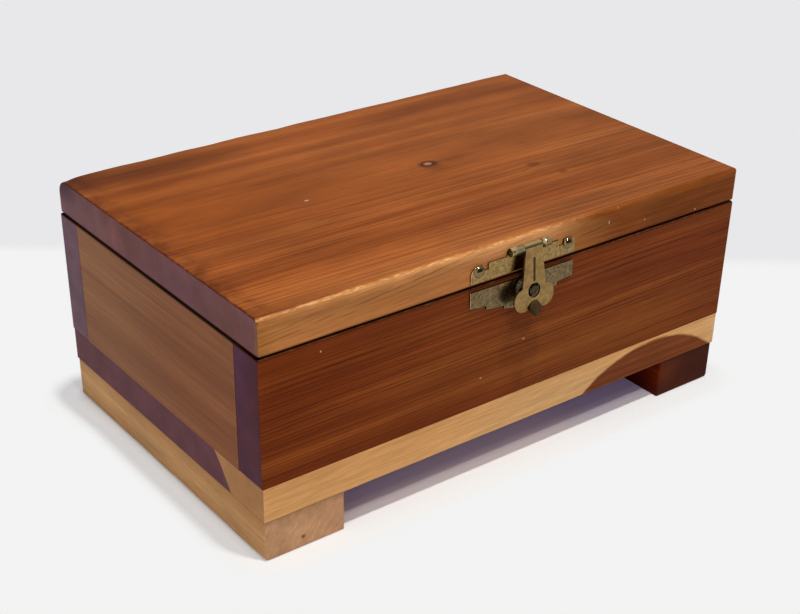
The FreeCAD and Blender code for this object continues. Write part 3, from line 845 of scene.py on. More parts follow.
@dataclass
class Board:
    """One worn board, built along its grain from a section whose arrises were rounded by hand and use.

    The arrises go round the section from low across and under, by way of high across, to low across and
    upper. Sizes are in millimetres, and the board fills the space of its node.
    """

    node: str
    body: str
    slot: str
    finish: CedarFinish
    rounds: tuple[float, float, float, float]
    end_round: float = 0.3
    bare: tuple[Side, ...] = ()
    nicks: tuple[Nick, ...] = ()
    wobble: float = 0.3
    brads: tuple[Pair, ...] = ()
    step: float = 1.5
    arc_steps: int = 6
    ripple: float = 0.03
    # How worn each arris is, and where across it the wear lies; on the lid's front arris this is also a
    # painted highlight.
    rubbed: tuple[float, float, float, float] = (0.3, 0.3, 0.3, 0.3)
    rub_and_highlight_at: float = 0.5
    rub_and_highlight_width: float = 0.15
    least_round: float = 0.06
    slow_wear: float = 11.0
    quick_wear: float = 2.3
    quick_share: float = 0.3
    layer_step: float = 0.37
    beside_arris: Pair = (0.5, 1.6)
    flat_step: float = 9.0
    cap_insets: Pair = (3.0, 0.7)
    beside_cap: Pair = (0.6, 1.6)
    square_facing: float = 0.8
    ripple_length: float = 30.0
    ripple_width: float = 16.0
    recess_radius: float = 1.4
    recess_flare: float = 1.12
    recess_depth: float = 1.0
    order: tuple[int, int, int] = field(init=False)
    ends: Pair = field(init=False)
    spans: list[Pair] = field(init=False)
    seed: int = field(init=False)

    def build(self) -> bpy.types.Object:
        """Makes the board's mesh, dresses it and puts it in the place of its node.

        Returns:
            The board.
        """
        self._measure()
        mesh = self._mesh()
        piece = bpy.data.objects.new(f"{self.node}_worn", mesh)
        bpy.context.scene.collection.objects.link(piece)
        if self.brads:
            self._sink_brads(piece)
        for surface in Surface:
            piece.data.materials.append(self.finish.build(surface))
        self._name_faces(piece.data)
        piece.modifiers.new("even_shading", "WEIGHTED_NORMAL")
        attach(piece, self.body)
        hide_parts(self.node)
        LOG.info("%s: %d points", piece.name, len(piece.data.vertices))
        return piece

    def _measure(self) -> None:
        """Reads the board's ends and section from its node."""
        low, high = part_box(self.node)
        self.order = (0, 1, 2) if self.finish.grain is Grain.ALONG_X else (1, 0, 2)
        self.ends, *self.spans = [(low[axis] * PER_MM, high[axis] * PER_MM) for axis in self.order]
        self.seed = sum(ord(letter) for letter in self.node)

    def _drift(self, first: float, second: float) -> float:
        """Smooth noise from minus one to one, in a layer that belongs to this board."""
        return noise.noise(Vector((first, second, self.seed * self.layer_step)))

    def _round(self, arris: int, along: float) -> float:
        """Measures the rounding of an arris, which wears slowly and quickly along its length.

        Args:
            arris: The arris's number.
            along: The place along the grain.

        Returns:
            The radius.
        """
        # The second place in the noise keeps the arrises apart.
        radius = self.rounds[arris] * (1 + self.wobble * self._drift(along / self.slow_wear, arris * 7.3))
        quick = self.quick_share * self.wobble
        radius *= 1 + quick * self._drift(along / self.quick_wear, arris * 3.1 + 50)
        for nick in self.nicks:
            if nick.arris == arris:
                radius += nick.depth * math.exp(-(((along - nick.along) / nick.width) ** 2))
        return radius

    def _flat_places(self, length: float) -> list[float]:
        """Spreads points over a flat, close together near its arrises.

        Args:
            length: The flat's length.

        Returns:
            The points' places, as shares of the length.
        """
        near = [reach / length for reach in self.beside_arris]
        count = max(1, int(length / self.flat_step))
        middle = [near[1] + (1 - 2 * near[1]) * (index + 1) / (count + 1) for index in range(count)]
        return near + middle + [1 - share for share in reversed(near)]

    def _section(self, along: float, inset: float) -> list[Triple]:
        """Draws the board's section at a place along the grain.

        Args:
            along: The place along the grain.
            inset: How far the section is drawn in.

        Returns:
            Points of first axis, second axis and how much of an arris each is.
        """
        (left, right), (under, upper) = self.spans
        corners = ((left, under, 1, 1), (right, under, -1, 1), (right, upper, -1, -1), (left, upper, 1, -1))
        arcs = []
        for arris, (first, second, inward, up) in enumerate(corners):
            radius = max(self.least_round, self._round(arris, along) - inset)
            middle = (first + inward * (inset + radius), second + up * (inset + radius))
            arc = []
            for index in range(self.arc_steps + 1):
                angle = math.pi + (arris + index / self.arc_steps) * math.pi / 2
                arc.append((middle[0] + radius * math.cos(angle), middle[1] + radius * math.sin(angle)))
            arcs.append(arc)
        points = []
        for arris, arc in enumerate(arcs):
            # The arris weight is wear, and on the lid's front arris also a painted highlight where the lamp's
            # highlight falls.
            worn = self.rubbed[arris] if inset == 0.0 else 0.0
            for index, (first, second) in enumerate(arc):
                off = (index / self.arc_steps - self.rub_and_highlight_at) / self.rub_and_highlight_width
                points.append((first, second, worn * math.exp(-off * off)))
            start, end = arc[-1], arcs[(arris + 1) % 4][0]
            nominal = self.spans[arris % 2][1] - self.spans[arris % 2][0]
            outward = ((0, -1), (1, 0), (0, 1), (-1, 0))[arris]
            for share in self._flat_places(nominal):
                across = arris * 9 + share * nominal / self.ripple_width
                wave = self._drift(along / self.ripple_length, across)
                sunk = self.ripple * (0.5 + 0.5 * wave)
                first = start[0] + (end[0] - start[0]) * share - outward[0] * sunk
                second = start[1] + (end[1] - start[1]) * share - outward[1] * sunk
                points.append((first, second, 0.0))
        return points

    def _stations(self) -> list[Pair]:
        """Places the sections, close together at the rounded ends.

        Returns:
            Each section's place along the grain and its inset.
        """
        start, stop = self.ends
        ease = self.end_round
        quarter = [index / 4 * math.pi / 2 for index in range(5)]
        cap = [(0.0, ease + inset) for inset in self.cap_insets]
        cap += [(ease * (1 - math.cos(angle)), ease * (1 - math.sin(angle))) for angle in quarter]
        first, second = (ease + reach for reach in self.beside_cap)
        cap.append((first, 0.0))
        head = [(start + place, inset) for place, inset in cap]
        inner = (start + second, stop - second)
        count = max(2, round((inner[1] - inner[0]) / self.step))
        run = [(inner[0] + (inner[1] - inner[0]) * index / count, 0.0) for index in range(count + 1)]
        tail = [(stop - place, inset) for place, inset in reversed(cap)]
        return head + run + tail

    def _mesh(self) -> bpy.types.Mesh:
        """Skins the sections and closes both ends.

        Returns:
            The board's mesh.
        """
        shape = bmesh.new()
        arris = shape.verts.layers.float.new("arris")
        rows = []
        for along, inset in self._stations():
            row = []
            for first, second, share in self._section(along, inset):
                place = [0.0, 0.0, 0.0]
                for axis, value in zip(self.order, (along, first, second)):
                    place[axis] = value * MM
                point = shape.verts.new(place)
                point[arris] = share
                row.append(point)
            rows.append(row)
        for lower, upper in zip(rows, rows[1:]):
            for index in range(len(lower)):
                after = (index + 1) % len(lower)
                shape.faces.new((lower[index], lower[after], upper[after], upper[index]))
        for row in (rows[0], rows[-1]):
            shape.faces.new(row)
        bmesh.ops.recalc_face_normals(shape, faces=shape.faces)
        mesh = bpy.data.meshes.new(f"{self.node}_worn")
        shape.to_mesh(mesh)
        shape.free()
        mesh.polygons.foreach_set("use_smooth", [True] * len(mesh.polygons))
        return mesh

    def _sink_brads(self, piece: bpy.types.Object) -> None:
        """Cuts the recesses over the brads' heads into the underside.

        Args:
            piece: The board.
        """
        radius = self.recess_radius * MM
        depth = 2 * self.recess_depth * MM
        sizes = {"radius1": radius * self.recess_flare, "radius2": radius, "depth": depth}
        under = self.spans[1][0] * MM
        cutter = bmesh.new()
        for x, y in self.brads:
            place = Matrix.Translation((x * MM, y * MM, under))
            bmesh.ops.create_cone(cutter, cap_ends=True, segments=32, matrix=place, **sizes)
        mesh = bpy.data.meshes.new("brad_recesses")
        cutter.to_mesh(mesh)
        cutter.free()
        tool = bpy.data.objects.new("brad_recesses", mesh)
        bpy.context.scene.collection.objects.link(tool)
        cut = piece.modifiers.new("recesses", "BOOLEAN")
        cut.operation = "DIFFERENCE"
        cut.object = tool
        cut.solver = "EXACT"
        bpy.context.view_layer.update()
        done = bpy.data.meshes.new_from_object(piece.evaluated_get(bpy.context.evaluated_depsgraph_get()))
        piece.modifiers.clear()
        piece.data = done
        bpy.data.objects.remove(tool)

    def _name_faces(self, mesh: bpy.types.Mesh) -> None:
        """Gives the bare sides their bare wood, the second of the two surfaces.

        Args:
            mesh: The board's mesh.
        """
        for face in mesh.polygons:
            facing = [face.normal[axis] for axis in self.order[1:]]
            is_bare = any(facing[side.value[0]] * side.value[1] > self.square_facing for side in self.bare)
            face.material_index = 1 if is_bare else 0


@dataclass
class MetalPieces:
    """Metal pieces that keep their node's shape, with the sharp edges broken by tumbling."""

    nodes: tuple[str, ...]
    finish: bpy.types.Material
    slot: str
    edge_mm: float = 0.09
    sharp_deg: float = 32.0
    hollow_mm2: float = 5.0
    hollow_slope: float = 0.4
    pin: str = ""
    barrel_mm: float = 1.5
    barrel_painted_light: float = 1.4
    lift_below_mm: float = 0.0
    lift_slope: float = 0.25
    lift_painted_dark: float = -0.95
    weld_mm: float = 0.002
    flat_deg: float = 0.5

    def build(self) -> list[bpy.types.Object]:
        """Makes every piece of this finish."""
        return [self._piece(node) for node in self.nodes]

    def _wear_and_painted_light(self, face: bmesh.types.BMFace) -> float:
        """Paints light and shade on a face of a piece that turns on the pin, as a level of the rim.

        Args:
            face: A face of a piece that turns on the pin.

        Returns:
            Up to one for a painted highlight on the barrel's top, down to minus one for painted shade under
            and inside the barrel, and the finger lift's dark level for a painted dark reflection on it.
        """
        middle = face.calc_center_median()
        # The finger lift's faces that look up get a painted dark reflection of the room.
        if middle.z < self.lift_below_mm * MM:
            return self.lift_painted_dark if face.normal.z > self.lift_slope else 0.0
        low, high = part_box(self.pin)
        out = middle - (low + high) / 2
        out.x = 0.0
        if out.length > self.barrel_mm * MM:
            return 0.0
        # The barrel's top gets a painted highlight, its underside painted shade, and its inside painted
        # shade.
        painted_light = max(-1.0, min(1.0, self.barrel_painted_light * face.normal.z))
        return painted_light if out.dot(face.normal) > 0 else -1.0

    def _piece(self, node: str) -> bpy.types.Object:
        """Makes one piece with broken edges in the place of its node.

        Args:
            node: The node's name.

        Returns:
            The piece.
        """
        shape = bmesh.new()
        shape.from_mesh(frame["nodes"][node].data)
        bmesh.ops.remove_doubles(shape, verts=shape.verts, dist=self.weld_mm * MM)
        flat = math.radians(self.flat_deg)
        bmesh.ops.dissolve_limit(shape, angle_limit=flat, verts=shape.verts, edges=shape.edges)
        rim = shape.loops.layers.float.new("rim")
        limit = math.radians(self.sharp_deg)
        bmesh.ops.recalc_face_normals(shape, faces=shape.faces)
        joined = [edge for edge in shape.edges if len(edge.link_faces) == 2]
        turned = [edge for edge in joined if edge.calc_face_angle() > limit]
        inward = [edge for edge in turned if edge.calc_face_angle_signed() < 0]
        small = self.hollow_mm2 * MM ** 2
        beside = {face for edge in inward for face in edge.link_faces}
        steep = {face for face in beside if abs(face.normal.x) > self.hollow_slope}
        dark_hollow_and_shade = {face for face in steep if face.calc_area() < small}
        for face in shape.faces:
            level = -1.0 if face in dark_hollow_and_shade else self._wear_and_painted_light(face) if self.pin else 0.0
            for corner in face.loops:
                corner[rim] = level
        sharp = [edge for edge in turned if not dark_hollow_and_shade.intersection(edge.link_faces)]
        made = bmesh.ops.bevel(
            shape, geom=sharp, offset=self.edge_mm * MM, offset_type="OFFSET", segments=2, profile=0.5,
            affect="EDGES", clamp_overlap=True,
        )
        for face in made["faces"]:
            for corner in face.loops:
                corner[rim] = 1.0
        bmesh.ops.recalc_face_normals(shape, faces=shape.faces)
        mesh = bpy.data.meshes.new(f"{node}_pressed")
        shape.to_mesh(mesh)
        shape.free()
        mesh.polygons.foreach_set("use_smooth", [True] * len(mesh.polygons))
        mesh.materials.append(self.finish)
        piece = bpy.data.objects.new(f"{node}_pressed", mesh)
        bpy.context.scene.collection.objects.link(piece)
        piece.modifiers.new("even_shading", "WEIGHTED_NORMAL")
        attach(piece, frame["nodes"][node]["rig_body"])
        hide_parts(node)
        LOG.info("%s: %d points", piece.name, len(mesh.vertices))
        return piece


@dataclass
class Woodwork:
    """The eight cedar boards of the box. Heights and faces are in millimetres in the frame."""

    front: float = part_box("front_board")[0].y * PER_MM
    back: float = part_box("back_board")[1].y * PER_MM
    top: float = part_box("lid_board")[1].z * PER_MM
    left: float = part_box("lid_board")[0].x * PER_MM
    lid_under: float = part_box("lid_board")[0].z * PER_MM
    wall_left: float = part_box("front_board")[0].x * PER_MM
    wall_top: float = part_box("front_board")[1].z * PER_MM
    brad_insets: Pair = (6.0, 5.4)
    brad_spacing: float = 52.0
    foot_brad_reach: float = 36.0

    def build(self) -> None:
        """Builds the lid, the walls, the bottom and the runners."""
        for board in (self._lid(), *self._walls(), self._bottom(), *self._runners()):
            board.build()

    def _lid(self) -> Board:
        """Makes the lid, cut so that sapwood lies along the left part of its front edge.

        Returns:
            The lid's board.
        """
        front, top, left, under = self.front, self.top, self.left, self.lid_under
        finish = CedarFinish(
            name="planed_aromatic_cedar_lid", grain=Grain.ALONG_X, pith=(6.0, 57.0), lean=(-0.025, 0.0),
            heart=("#7f4118", "#945122", "#a7612d"), late="#552006", late_depth=0.85, ring_mm=1.6,
            cloud_depth=0.2, calm=(front + 28.0, front + 66.0), stroke_depth=0.05,
            sap=("#a26938", "#b17642", "#bf854f"), sap_late="#69381a", sap_late_depth=0.85,
            sap_ring_mm=1.5, sap_rise=0.1, sap_front=front + 1.6, sap_border_mm=0.5,
            sap_recede=(0.0, 66.0, 3.2), end_heart="#70494f", end_sap="#7c5446",
            # The pale arris colour and its chips paint a highlight along the front arris, with its wear.
            arris="#d8924e", arris_wear_and_highlight_depth=0.85, wear_and_highlight_fade=(-6.0, 40.0),
            knots=(
                Knot((11.1, front + 58.5, top), (2.2, 1.65, math.inf), 1.0, True),
                Knot((38.2, front + 39.4, top), (1.7, 1.2, math.inf), 0.45),
                Knot((42.0, front + 29.8, top), (1.2, 0.8, math.inf), 0.5),
            ),
            shades=(
                Shade((-62.0, front + 104.0, top), (46.0, 17.0, 30.0), (0.72, 0.7, 0.68)),
                Shade((-20.0, front + 78.0, top), (120.0, 3.4, 30.0), (1.24, 1.28, 1.3)),
                # A painted warm highlight lightens the top near the front left.
                Shade((-50.0, front + 12.0, top), (70.0, 26.0, 30.0), (1.2, 1.2, 1.15)),
                Shade((-66.0, front + 40.0, top), (26.0, 10.0, 30.0), (0.84, 0.82, 0.8)),
                Shade((18.0, front + 58.0, top), (14.0, 2.6, 30.0), (0.78, 0.76, 0.74)),
                # A painted sheen lightens the top near the front.
                Shade((-10.0, front + 5.0, top), (120.0, 12.0, 8.0), (1.06, 1.24, 1.6)),
                Shade((-72.0, front + 72.0, top), (54.0, 46.0, 30.0), (0.97, 0.9, 0.66)),
                Shade((62.0, front + 48.0, top), (60.0, 60.0, 30.0), (0.9, 0.95, 0.97)),
                Shade((left, self.back, top), (20.0, 14.0, 10.0), (0.42, 0.36, 0.38)),
                Shade((left, self.back - 8.0, 69.0), (6.0, 40.0, 12.0), (1.18, 1.32, 1.28)),
                Shade((left, front + 8.0, 69.0), (6.0, 44.0, 12.0), (0.9, 0.88, 0.66)),
                # Painted shade darkens the lid's lower edge along the front and the left end, for the shadow
                # in the gap.
                Shade((0.0, front, under), (500.0, 2.6, 1.0), (0.16, 0.1, 0.1)),
                Shade((left, 0.0, under), (2.6, 500.0, 0.7), (0.12, 0.08, 0.08)),
                Shade((28.0, front, 70.0), (22.0, 4.0, 20.0), (0.66, 0.53, 0.38)),
                Shade((-22.0, front, 68.0), (52.0, 1.8, 9.0), (0.86, 0.77, 0.73)),
                Shade((-30.0, front + 62.0, top), (34.0, 9.0, 30.0), (0.86, 0.83, 0.78)),
                Shade((-72.0, front + 92.0, top), (30.0, 5.0, 30.0), (0.82, 0.78, 0.74)),
                Shade((72.0, front, 70.0), (66.0, 4.0, 20.0), (0.48, 0.43, 0.32)),
            ),
            burnt_end=(left, 1.0),
            dings=(
                Ding((-36.1, front + 56.2, top), (1.2, 0.7, 1.0)),
                Ding((33.6, front, 71.2), (0.35, 0.6, 1.0)),
                Ding((37.5, front, 75.0), (0.5, 1.4, 0.9)),
                Ding((48.8, front, 68.3), (0.4, 0.6, 0.4)),
                Ding((71.1, front, 66.1), (0.5, 0.6, 0.4)),
            ),
        )
        # Small dents lie about 6 mm apart along the front arris.
        nicks = [Nick(3, -85 + 6.3 * index + 2 * math.sin(index * 2.4), 1.2, 0.35) for index in range(20)]
        # The left back corner and the middle of the front are worn round. The right front corner is sharp.
        nicks += [Nick(2, left, 4.0, 2.2), Nick(3, -25.0, 70.0, 1.4), Nick(3, -left, 14.0, -1.3)]
        # The rubbed band on the front arris lies a third of the way round, where the lamp's highlight falls:
        # a painted highlight with the wear.
        return Board(
            "lid_board", "lid", "cedar_lid", finish, (0.8, 0.5, 2.0, 2.0), bare=(Side.UNDER,),
            nicks=tuple(nicks), arc_steps=14, rubbed=(0.0, 0.0, 0.0, 1.0), rub_and_highlight_at=0.36, rub_and_highlight_width=0.1,
        )

    def _walls(self) -> list[Board]:
        """Makes the front, the back and the end panels, with a dark line of painted shade along the top where
        they show, for the shadow in the gap under the lid.

        Returns:
            The four boards.
        """
        front, end, top = self.front, self.wall_left, self.wall_top
        red = CedarFinish(
            name="planed_aromatic_cedar_front", grain=Grain.ALONG_X, pith=(-48.0, -42.0), lean=(0.0, 0.012),
            heart=("#662b0d", "#763814", "#86461c"), late="#361204", late_depth=0.85, ring_mm=1.15,
            streak_mm=0.55, streak_depth=0.75, stroke_depth=0.05, end_heart="#4f2a36",
            shades=(
                Shade((-20.0, front, 44.0), (62.0, 10.0, 16.0), (1.13, 1.27, 1.18)),
                Shade((-86.0, front, 54.0), (70.0, 10.0, 30.0), (0.9, 0.78, 0.52)),
                Shade((-56.0, front, 30.0), (90.0, 10.0, 14.0), (1.1, 1.15, 0.98)),
                Shade((36.0, front, 32.0), (64.0, 10.0, 26.0), (1.14, 1.34, 1.26)),
                # Painted shade darkens the top of the front and of its left end, for the shadow in the gap
                # under the lid.
                Shade((0.0, front, top), (500.0, 2.6, 0.9), (0.2, 0.14, 0.14)),
                Shade((end, front, top), (2.6, 30.0, 0.7), (0.12, 0.08, 0.08)),
                Shade((-90.0, front + 6.0, 58.0), (6.0, 14.0, 20.0), (1.12, 1.08, 1.4)),
            ),
            dings=(
                Ding((-69.6, front, 60.9), (0.4, 0.6, 0.5)),
                Ding((2.3, front, 42.0), (0.8, 0.6, 0.45)),
                Ding((-13.7, front, 33.9), (0.6, 0.6, 0.4)),
            ),
        )
        back = CedarFinish(
            name="planed_aromatic_cedar_back", grain=Grain.ALONG_X, pith=(70.0, -40.0),
            heart=("#602a10", "#763818", "#8a4722"), late="#471c09", ring_mm=2.1, end_heart="#6d505a",
            # Painted shade darkens the top of the back's left end, for the shadow in the gap.
            shades=(Shade((end, self.back, top), (2.6, 30.0, 0.8), (0.12, 0.08, 0.08)),),
        )
        tan = dict(
            heart=("#815538", "#8a5c3d", "#946645"), late="#663e27", ring_mm=1.1, late_depth=0.55,
            streak_depth=0.45, streak_mm=0.6, cloud_depth=0.04,
        )
        left = CedarFinish(
            name="planed_aromatic_cedar_left_end", grain=Grain.ALONG_Y, pith=(-83.0, 165.0),
            shades=(
                Shade((end, front + 24.0, 40.0), (14.0, 62.0, 40.0), (0.96, 0.84, 0.74)),
                Shade((end, front + 96.0, 56.0), (14.0, 50.0, 30.0), (1.2, 1.28, 1.3)),
                # Painted shade darkens the top of the panel, for the shadow in the gap under the lid.
                Shade((end, 0.0, top), (2.6, 500.0, 0.7), (0.12, 0.08, 0.08)),
            ),
            **tan,
        )
        right = CedarFinish(
            name="planed_aromatic_cedar_right_end", grain=Grain.ALONG_Y, pith=(83.0, -70.0), **tan
        )
        wall = (0.15, 0.15, 0.3, 0.8)
        return [
            Board("front_board", "base", "cedar_front", red, wall, 0.4, (Side.HIGH_ACROSS, Side.UPPER)),
            Board(
                "back_board", "base", "cedar_back", back, (0.15, 0.15, 0.5, 0.3), 0.4,
                (Side.LOW_ACROSS, Side.UPPER),
            ),
            Board(
                "left_end_panel", "base", "cedar_ends", left, (0.15, 0.15, 0.3, 0.3), 0.08,
                (Side.HIGH_ACROSS, Side.UPPER),
            ),
            Board(
                "right_end_panel", "base", "cedar_ends", right, (0.15, 0.15, 0.3, 0.3), 0.08,
                (Side.LOW_ACROSS, Side.UPPER),
            ),
        ]

    def _bottom(self) -> Board:
        """Makes the bottom: heartwood behind, sapwood in front, with a heart arch at the right.

        Returns:
            The bottom's board.
        """
        finish = CedarFinish(
            name="planed_aromatic_cedar_bottom", grain=Grain.ALONG_X, pith=(40.0, -40.0),
            heart=("#632f14", "#743b1b", "#864923"), late="#4a2210", ring_mm=2.4, sap_radius=94.4,
            sap=("#c89057", "#d29e64", "#dcae76"), sap_late="#a8703e",
            end_heart="#623b40", end_sap="#aa794c",
            sap_rise=0.06, sap_ring_mm=2.6, sap_late_depth=0.3, sap_streaks=0.25, stroke_depth=0.055,
            stroke_rise=0.2,
            arch=HeartArch((58.0, self.front, -20.0), (45.6, 60.0, 43.6)),
            shades=(
                Shade((12.0, self.front, 19.0), (50.0, 10.0, 20.0), (1.06, 1.14, 1.24)),
                Shade((88.0, self.front, 23.0), (9.0, 10.0, 7.0), (1.1, 1.18, 1.35)),
            ),
        )
        rows = (self.front + self.brad_insets[0], self.back - self.brad_insets[1])
        brads = tuple((step * self.brad_spacing, row) for row in rows for step in (-1, 0, 1))
        return Board(
            "bottom_board", "base", "cedar_bottom", finish, (0.3, 0.3, 0.15, 0.15), 0.4,
            (Side.UPPER, Side.UNDER), brads=brads,
        )

    def _runners(self) -> list[Board]:
        """Makes the pale left runner and the dark right one.

        Returns:
            The two boards.
        """
        front = self.front
        pale = CedarFinish(
            name="planed_aromatic_cedar_left_foot", grain=Grain.ALONG_Y, pith=(-40.0, -32.0),
            heart=("#8a5a38", "#9c6b45", "#ad7c54"), late="#7a4c2b", ring_mm=2.6, sap_radius=0.0,
            sap=("#ac7e4e", "#b98b59", "#c59a68"), sap_late="#94683e", sap_ring_mm=2.4, sap_late_depth=0.3,
            end_sap="#b68b66", streak_depth=0.6, stroke_depth=0.06, saw_depth=0.11,
            shades=(Shade((-76.0, front, 3.6), (1.2, 4.0, 1.0), (0.3, 0.22, 0.17)),),
        )
        dark = CedarFinish(
            name="planed_aromatic_cedar_right_foot", grain=Grain.ALONG_Y, pith=(55.0, 45.0),
            heart=("#481305", "#541908", "#62220c"), late="#2a0a02", ring_mm=2.2, end_heart="#461d0b",
            shades=(
                Shade((66.0, front, 9.0), (13.0, 10.0, 10.0), (1.5, 1.4, 1.2)),
                Shade((86.0, front, 5.0), (12.0, 10.0, 12.0), (0.8, 0.78, 0.85)),
            ),
        )
        boards = []
        for side, finish in (("left", pale), ("right", dark)):
            low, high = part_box(f"{side}_foot_runner")
            middle = (low + high) / 2 * PER_MM
            brads = tuple((middle.x, middle.y + step * self.foot_brad_reach) for step in (-1, 1))
            # The lower outer arris of each runner is the roundest.
            rounds = (1.2, 0.3, 0.2, 0.3) if side == "left" else (0.3, 1.2, 0.3, 0.2)
            slot = f"cedar_{side}_foot"
            boards.append(
                Board(f"{side}_foot_runner", "base", slot, finish, rounds, 0.6, (Side.UNDER,), brads=brads)
            )
        return boards


@dataclass
class Hardware:
    """The brass hasp, catch and hinges, their nails, and the steel brads under the box.

    An edge is how far tumbling broke the sharp edges of such a piece, in millimetres.
    """

    sheet_edge: float = 0.13
    cut_edge: float = 0.14
    stud_edge: float = 0.2
    nail_edge: float = 0.05
    brad_edge: float = 0.06
    finger_lift_top: float = 57.0

    def build(self) -> None:
        """Builds every metal piece."""
        # Much handled sheet is tan, with bright rims.
        sheet = MetalFinish(
            "antiqued_brass_sheet", bright="#ae8d57", dull="#745d38", rim="#dcc896", roughness=(0.16, 0.3),
            rim_depth=0.75,
        ).build()
        for side in ("left", "right"):
            hinge = f"{side}_hinge"
            pieces = (f"{hinge}_box_leaf", f"{hinge}_lid_leaf", f"{hinge}_pin")
            MetalPieces(pieces, sheet, "antique_brass", self.sheet_edge, pin=f"{hinge}_pin").build()
        self._hasp(sheet)
        self._nails()

    def _hasp(self, sheet: bpy.types.Material) -> None:
        """Builds the hasp on the lid and the catch on the front board.

        Args:
            sheet: The finish of the hasp's plate.
        """
        # The plate's barrel knuckles, like the hinges', get a painted highlight on top and painted shade
        # below and inside.
        MetalPieces(("hasp_plate",), sheet, "antique_brass", self.sheet_edge, pin="hasp_pin").build()
        # The catch's sheet is darker than the hasp's.
        catch = MetalFinish(
            "darker_brass_sheet", bright="#8a7452", dull="#4f412b", rim="#c9b68c", roughness=(0.2, 0.34)
        ).build()
        MetalPieces(("catch_plate",), catch, "antique_brass", self.cut_edge).build()
        # The pin's ends sit deep in the barrel, and the pin is painted near black for the shade in the
        # hollow.
        pin = MetalFinish(
            "brass_pin_painted_shade", bright="#3d3221", dull="#191309", rim="#2a2216", roughness=(0.3, 0.4)
        ).build()
        MetalPieces(("hasp_pin",), pin, "antique_brass").build()
        # The stud is painted dark for the shade inside the arm's eye, and its pale rims are painted
        # highlights.
        stud = MetalFinish(
            "brass_stud_painted_shade_and_highlight", bright="#54493a", dull="#1c160e", rim="#aea184", roughness=(0.1, 0.2),
            rim_depth=0.9,
        ).build()
        MetalPieces(("catch_stud",), stud, "antique_brass", self.stud_edge).build()
        # The arm's broad face has larger and fainter blotches, and is less shiny than the plate.
        arm = MetalFinish(
            "antiqued_brass_arm", bright="#a68452", dull="#84683d", blotch_mm=1.6, roughness=(0.26, 0.38)
        ).build()
        # Below the lift's top, the faces that look up get a painted dark reflection of the room.
        lift = self.finger_lift_top
        MetalPieces(
            ("hasp_arm",), arm, "antique_brass", self.cut_edge, pin="hasp_pin", lift_below_mm=lift
        ).build()

    def _nails(self) -> None:
        """Builds the domed brass nails and the steel brads."""
        # Domed heads are rubbed smooth and mirror the room.
        head = MetalFinish(
            "rubbed_brass_nails", bright="#94805a", dull="#6b5a39", rim="#8a7751", roughness=(0.1, 0.18)
        ).build()
        leaves = [f"{side}_hinge_{leaf}_leaf" for side in ("left", "right") for leaf in ("box", "lid")]
        nails = tuple(f"{plate}_nails" for plate in ("hasp_plate", *leaves))
        MetalPieces(nails, head, "brass_nails", self.nail_edge).build()
        # Plain drawn steel has a dull grey head.
        steel = MetalFinish(
            "dulled_steel_brads", bright="#8f8b86", dull="#5f5a55", rim="#9a9690", roughness=(0.4, 0.6)
        ).build()
        MetalPieces(("bottom_brads", "foot_brads"), steel, "steel_brads", self.brad_edge).build()


@dataclass(frozen=True)
class Lamp:
    """A square lamp: the way to it, its distance and side in metres, its watts and its tint."""

    name: str
    towards: Triple
    distance: float
    side: float
    watts: float
    tint: str

    def hang(self, target: Vector) -> None:
        """Hangs the lamp.

        Args:
            target: The place in metres that the lamp looks at.
        """
        data = bpy.data.lights.new(self.name, "AREA")
        data.energy = self.watts
        data.size = self.side
        data.color = linear(self.tint)[:3]
        lamp = bpy.data.objects.new(self.name, data)
        direction = Vector(self.towards).normalized()
        lamp.location = target + direction * self.distance
        lamp.rotation_euler = direction.to_track_quat("Z", "Y").to_euler()
        bpy.context.scene.collection.objects.link(lamp)


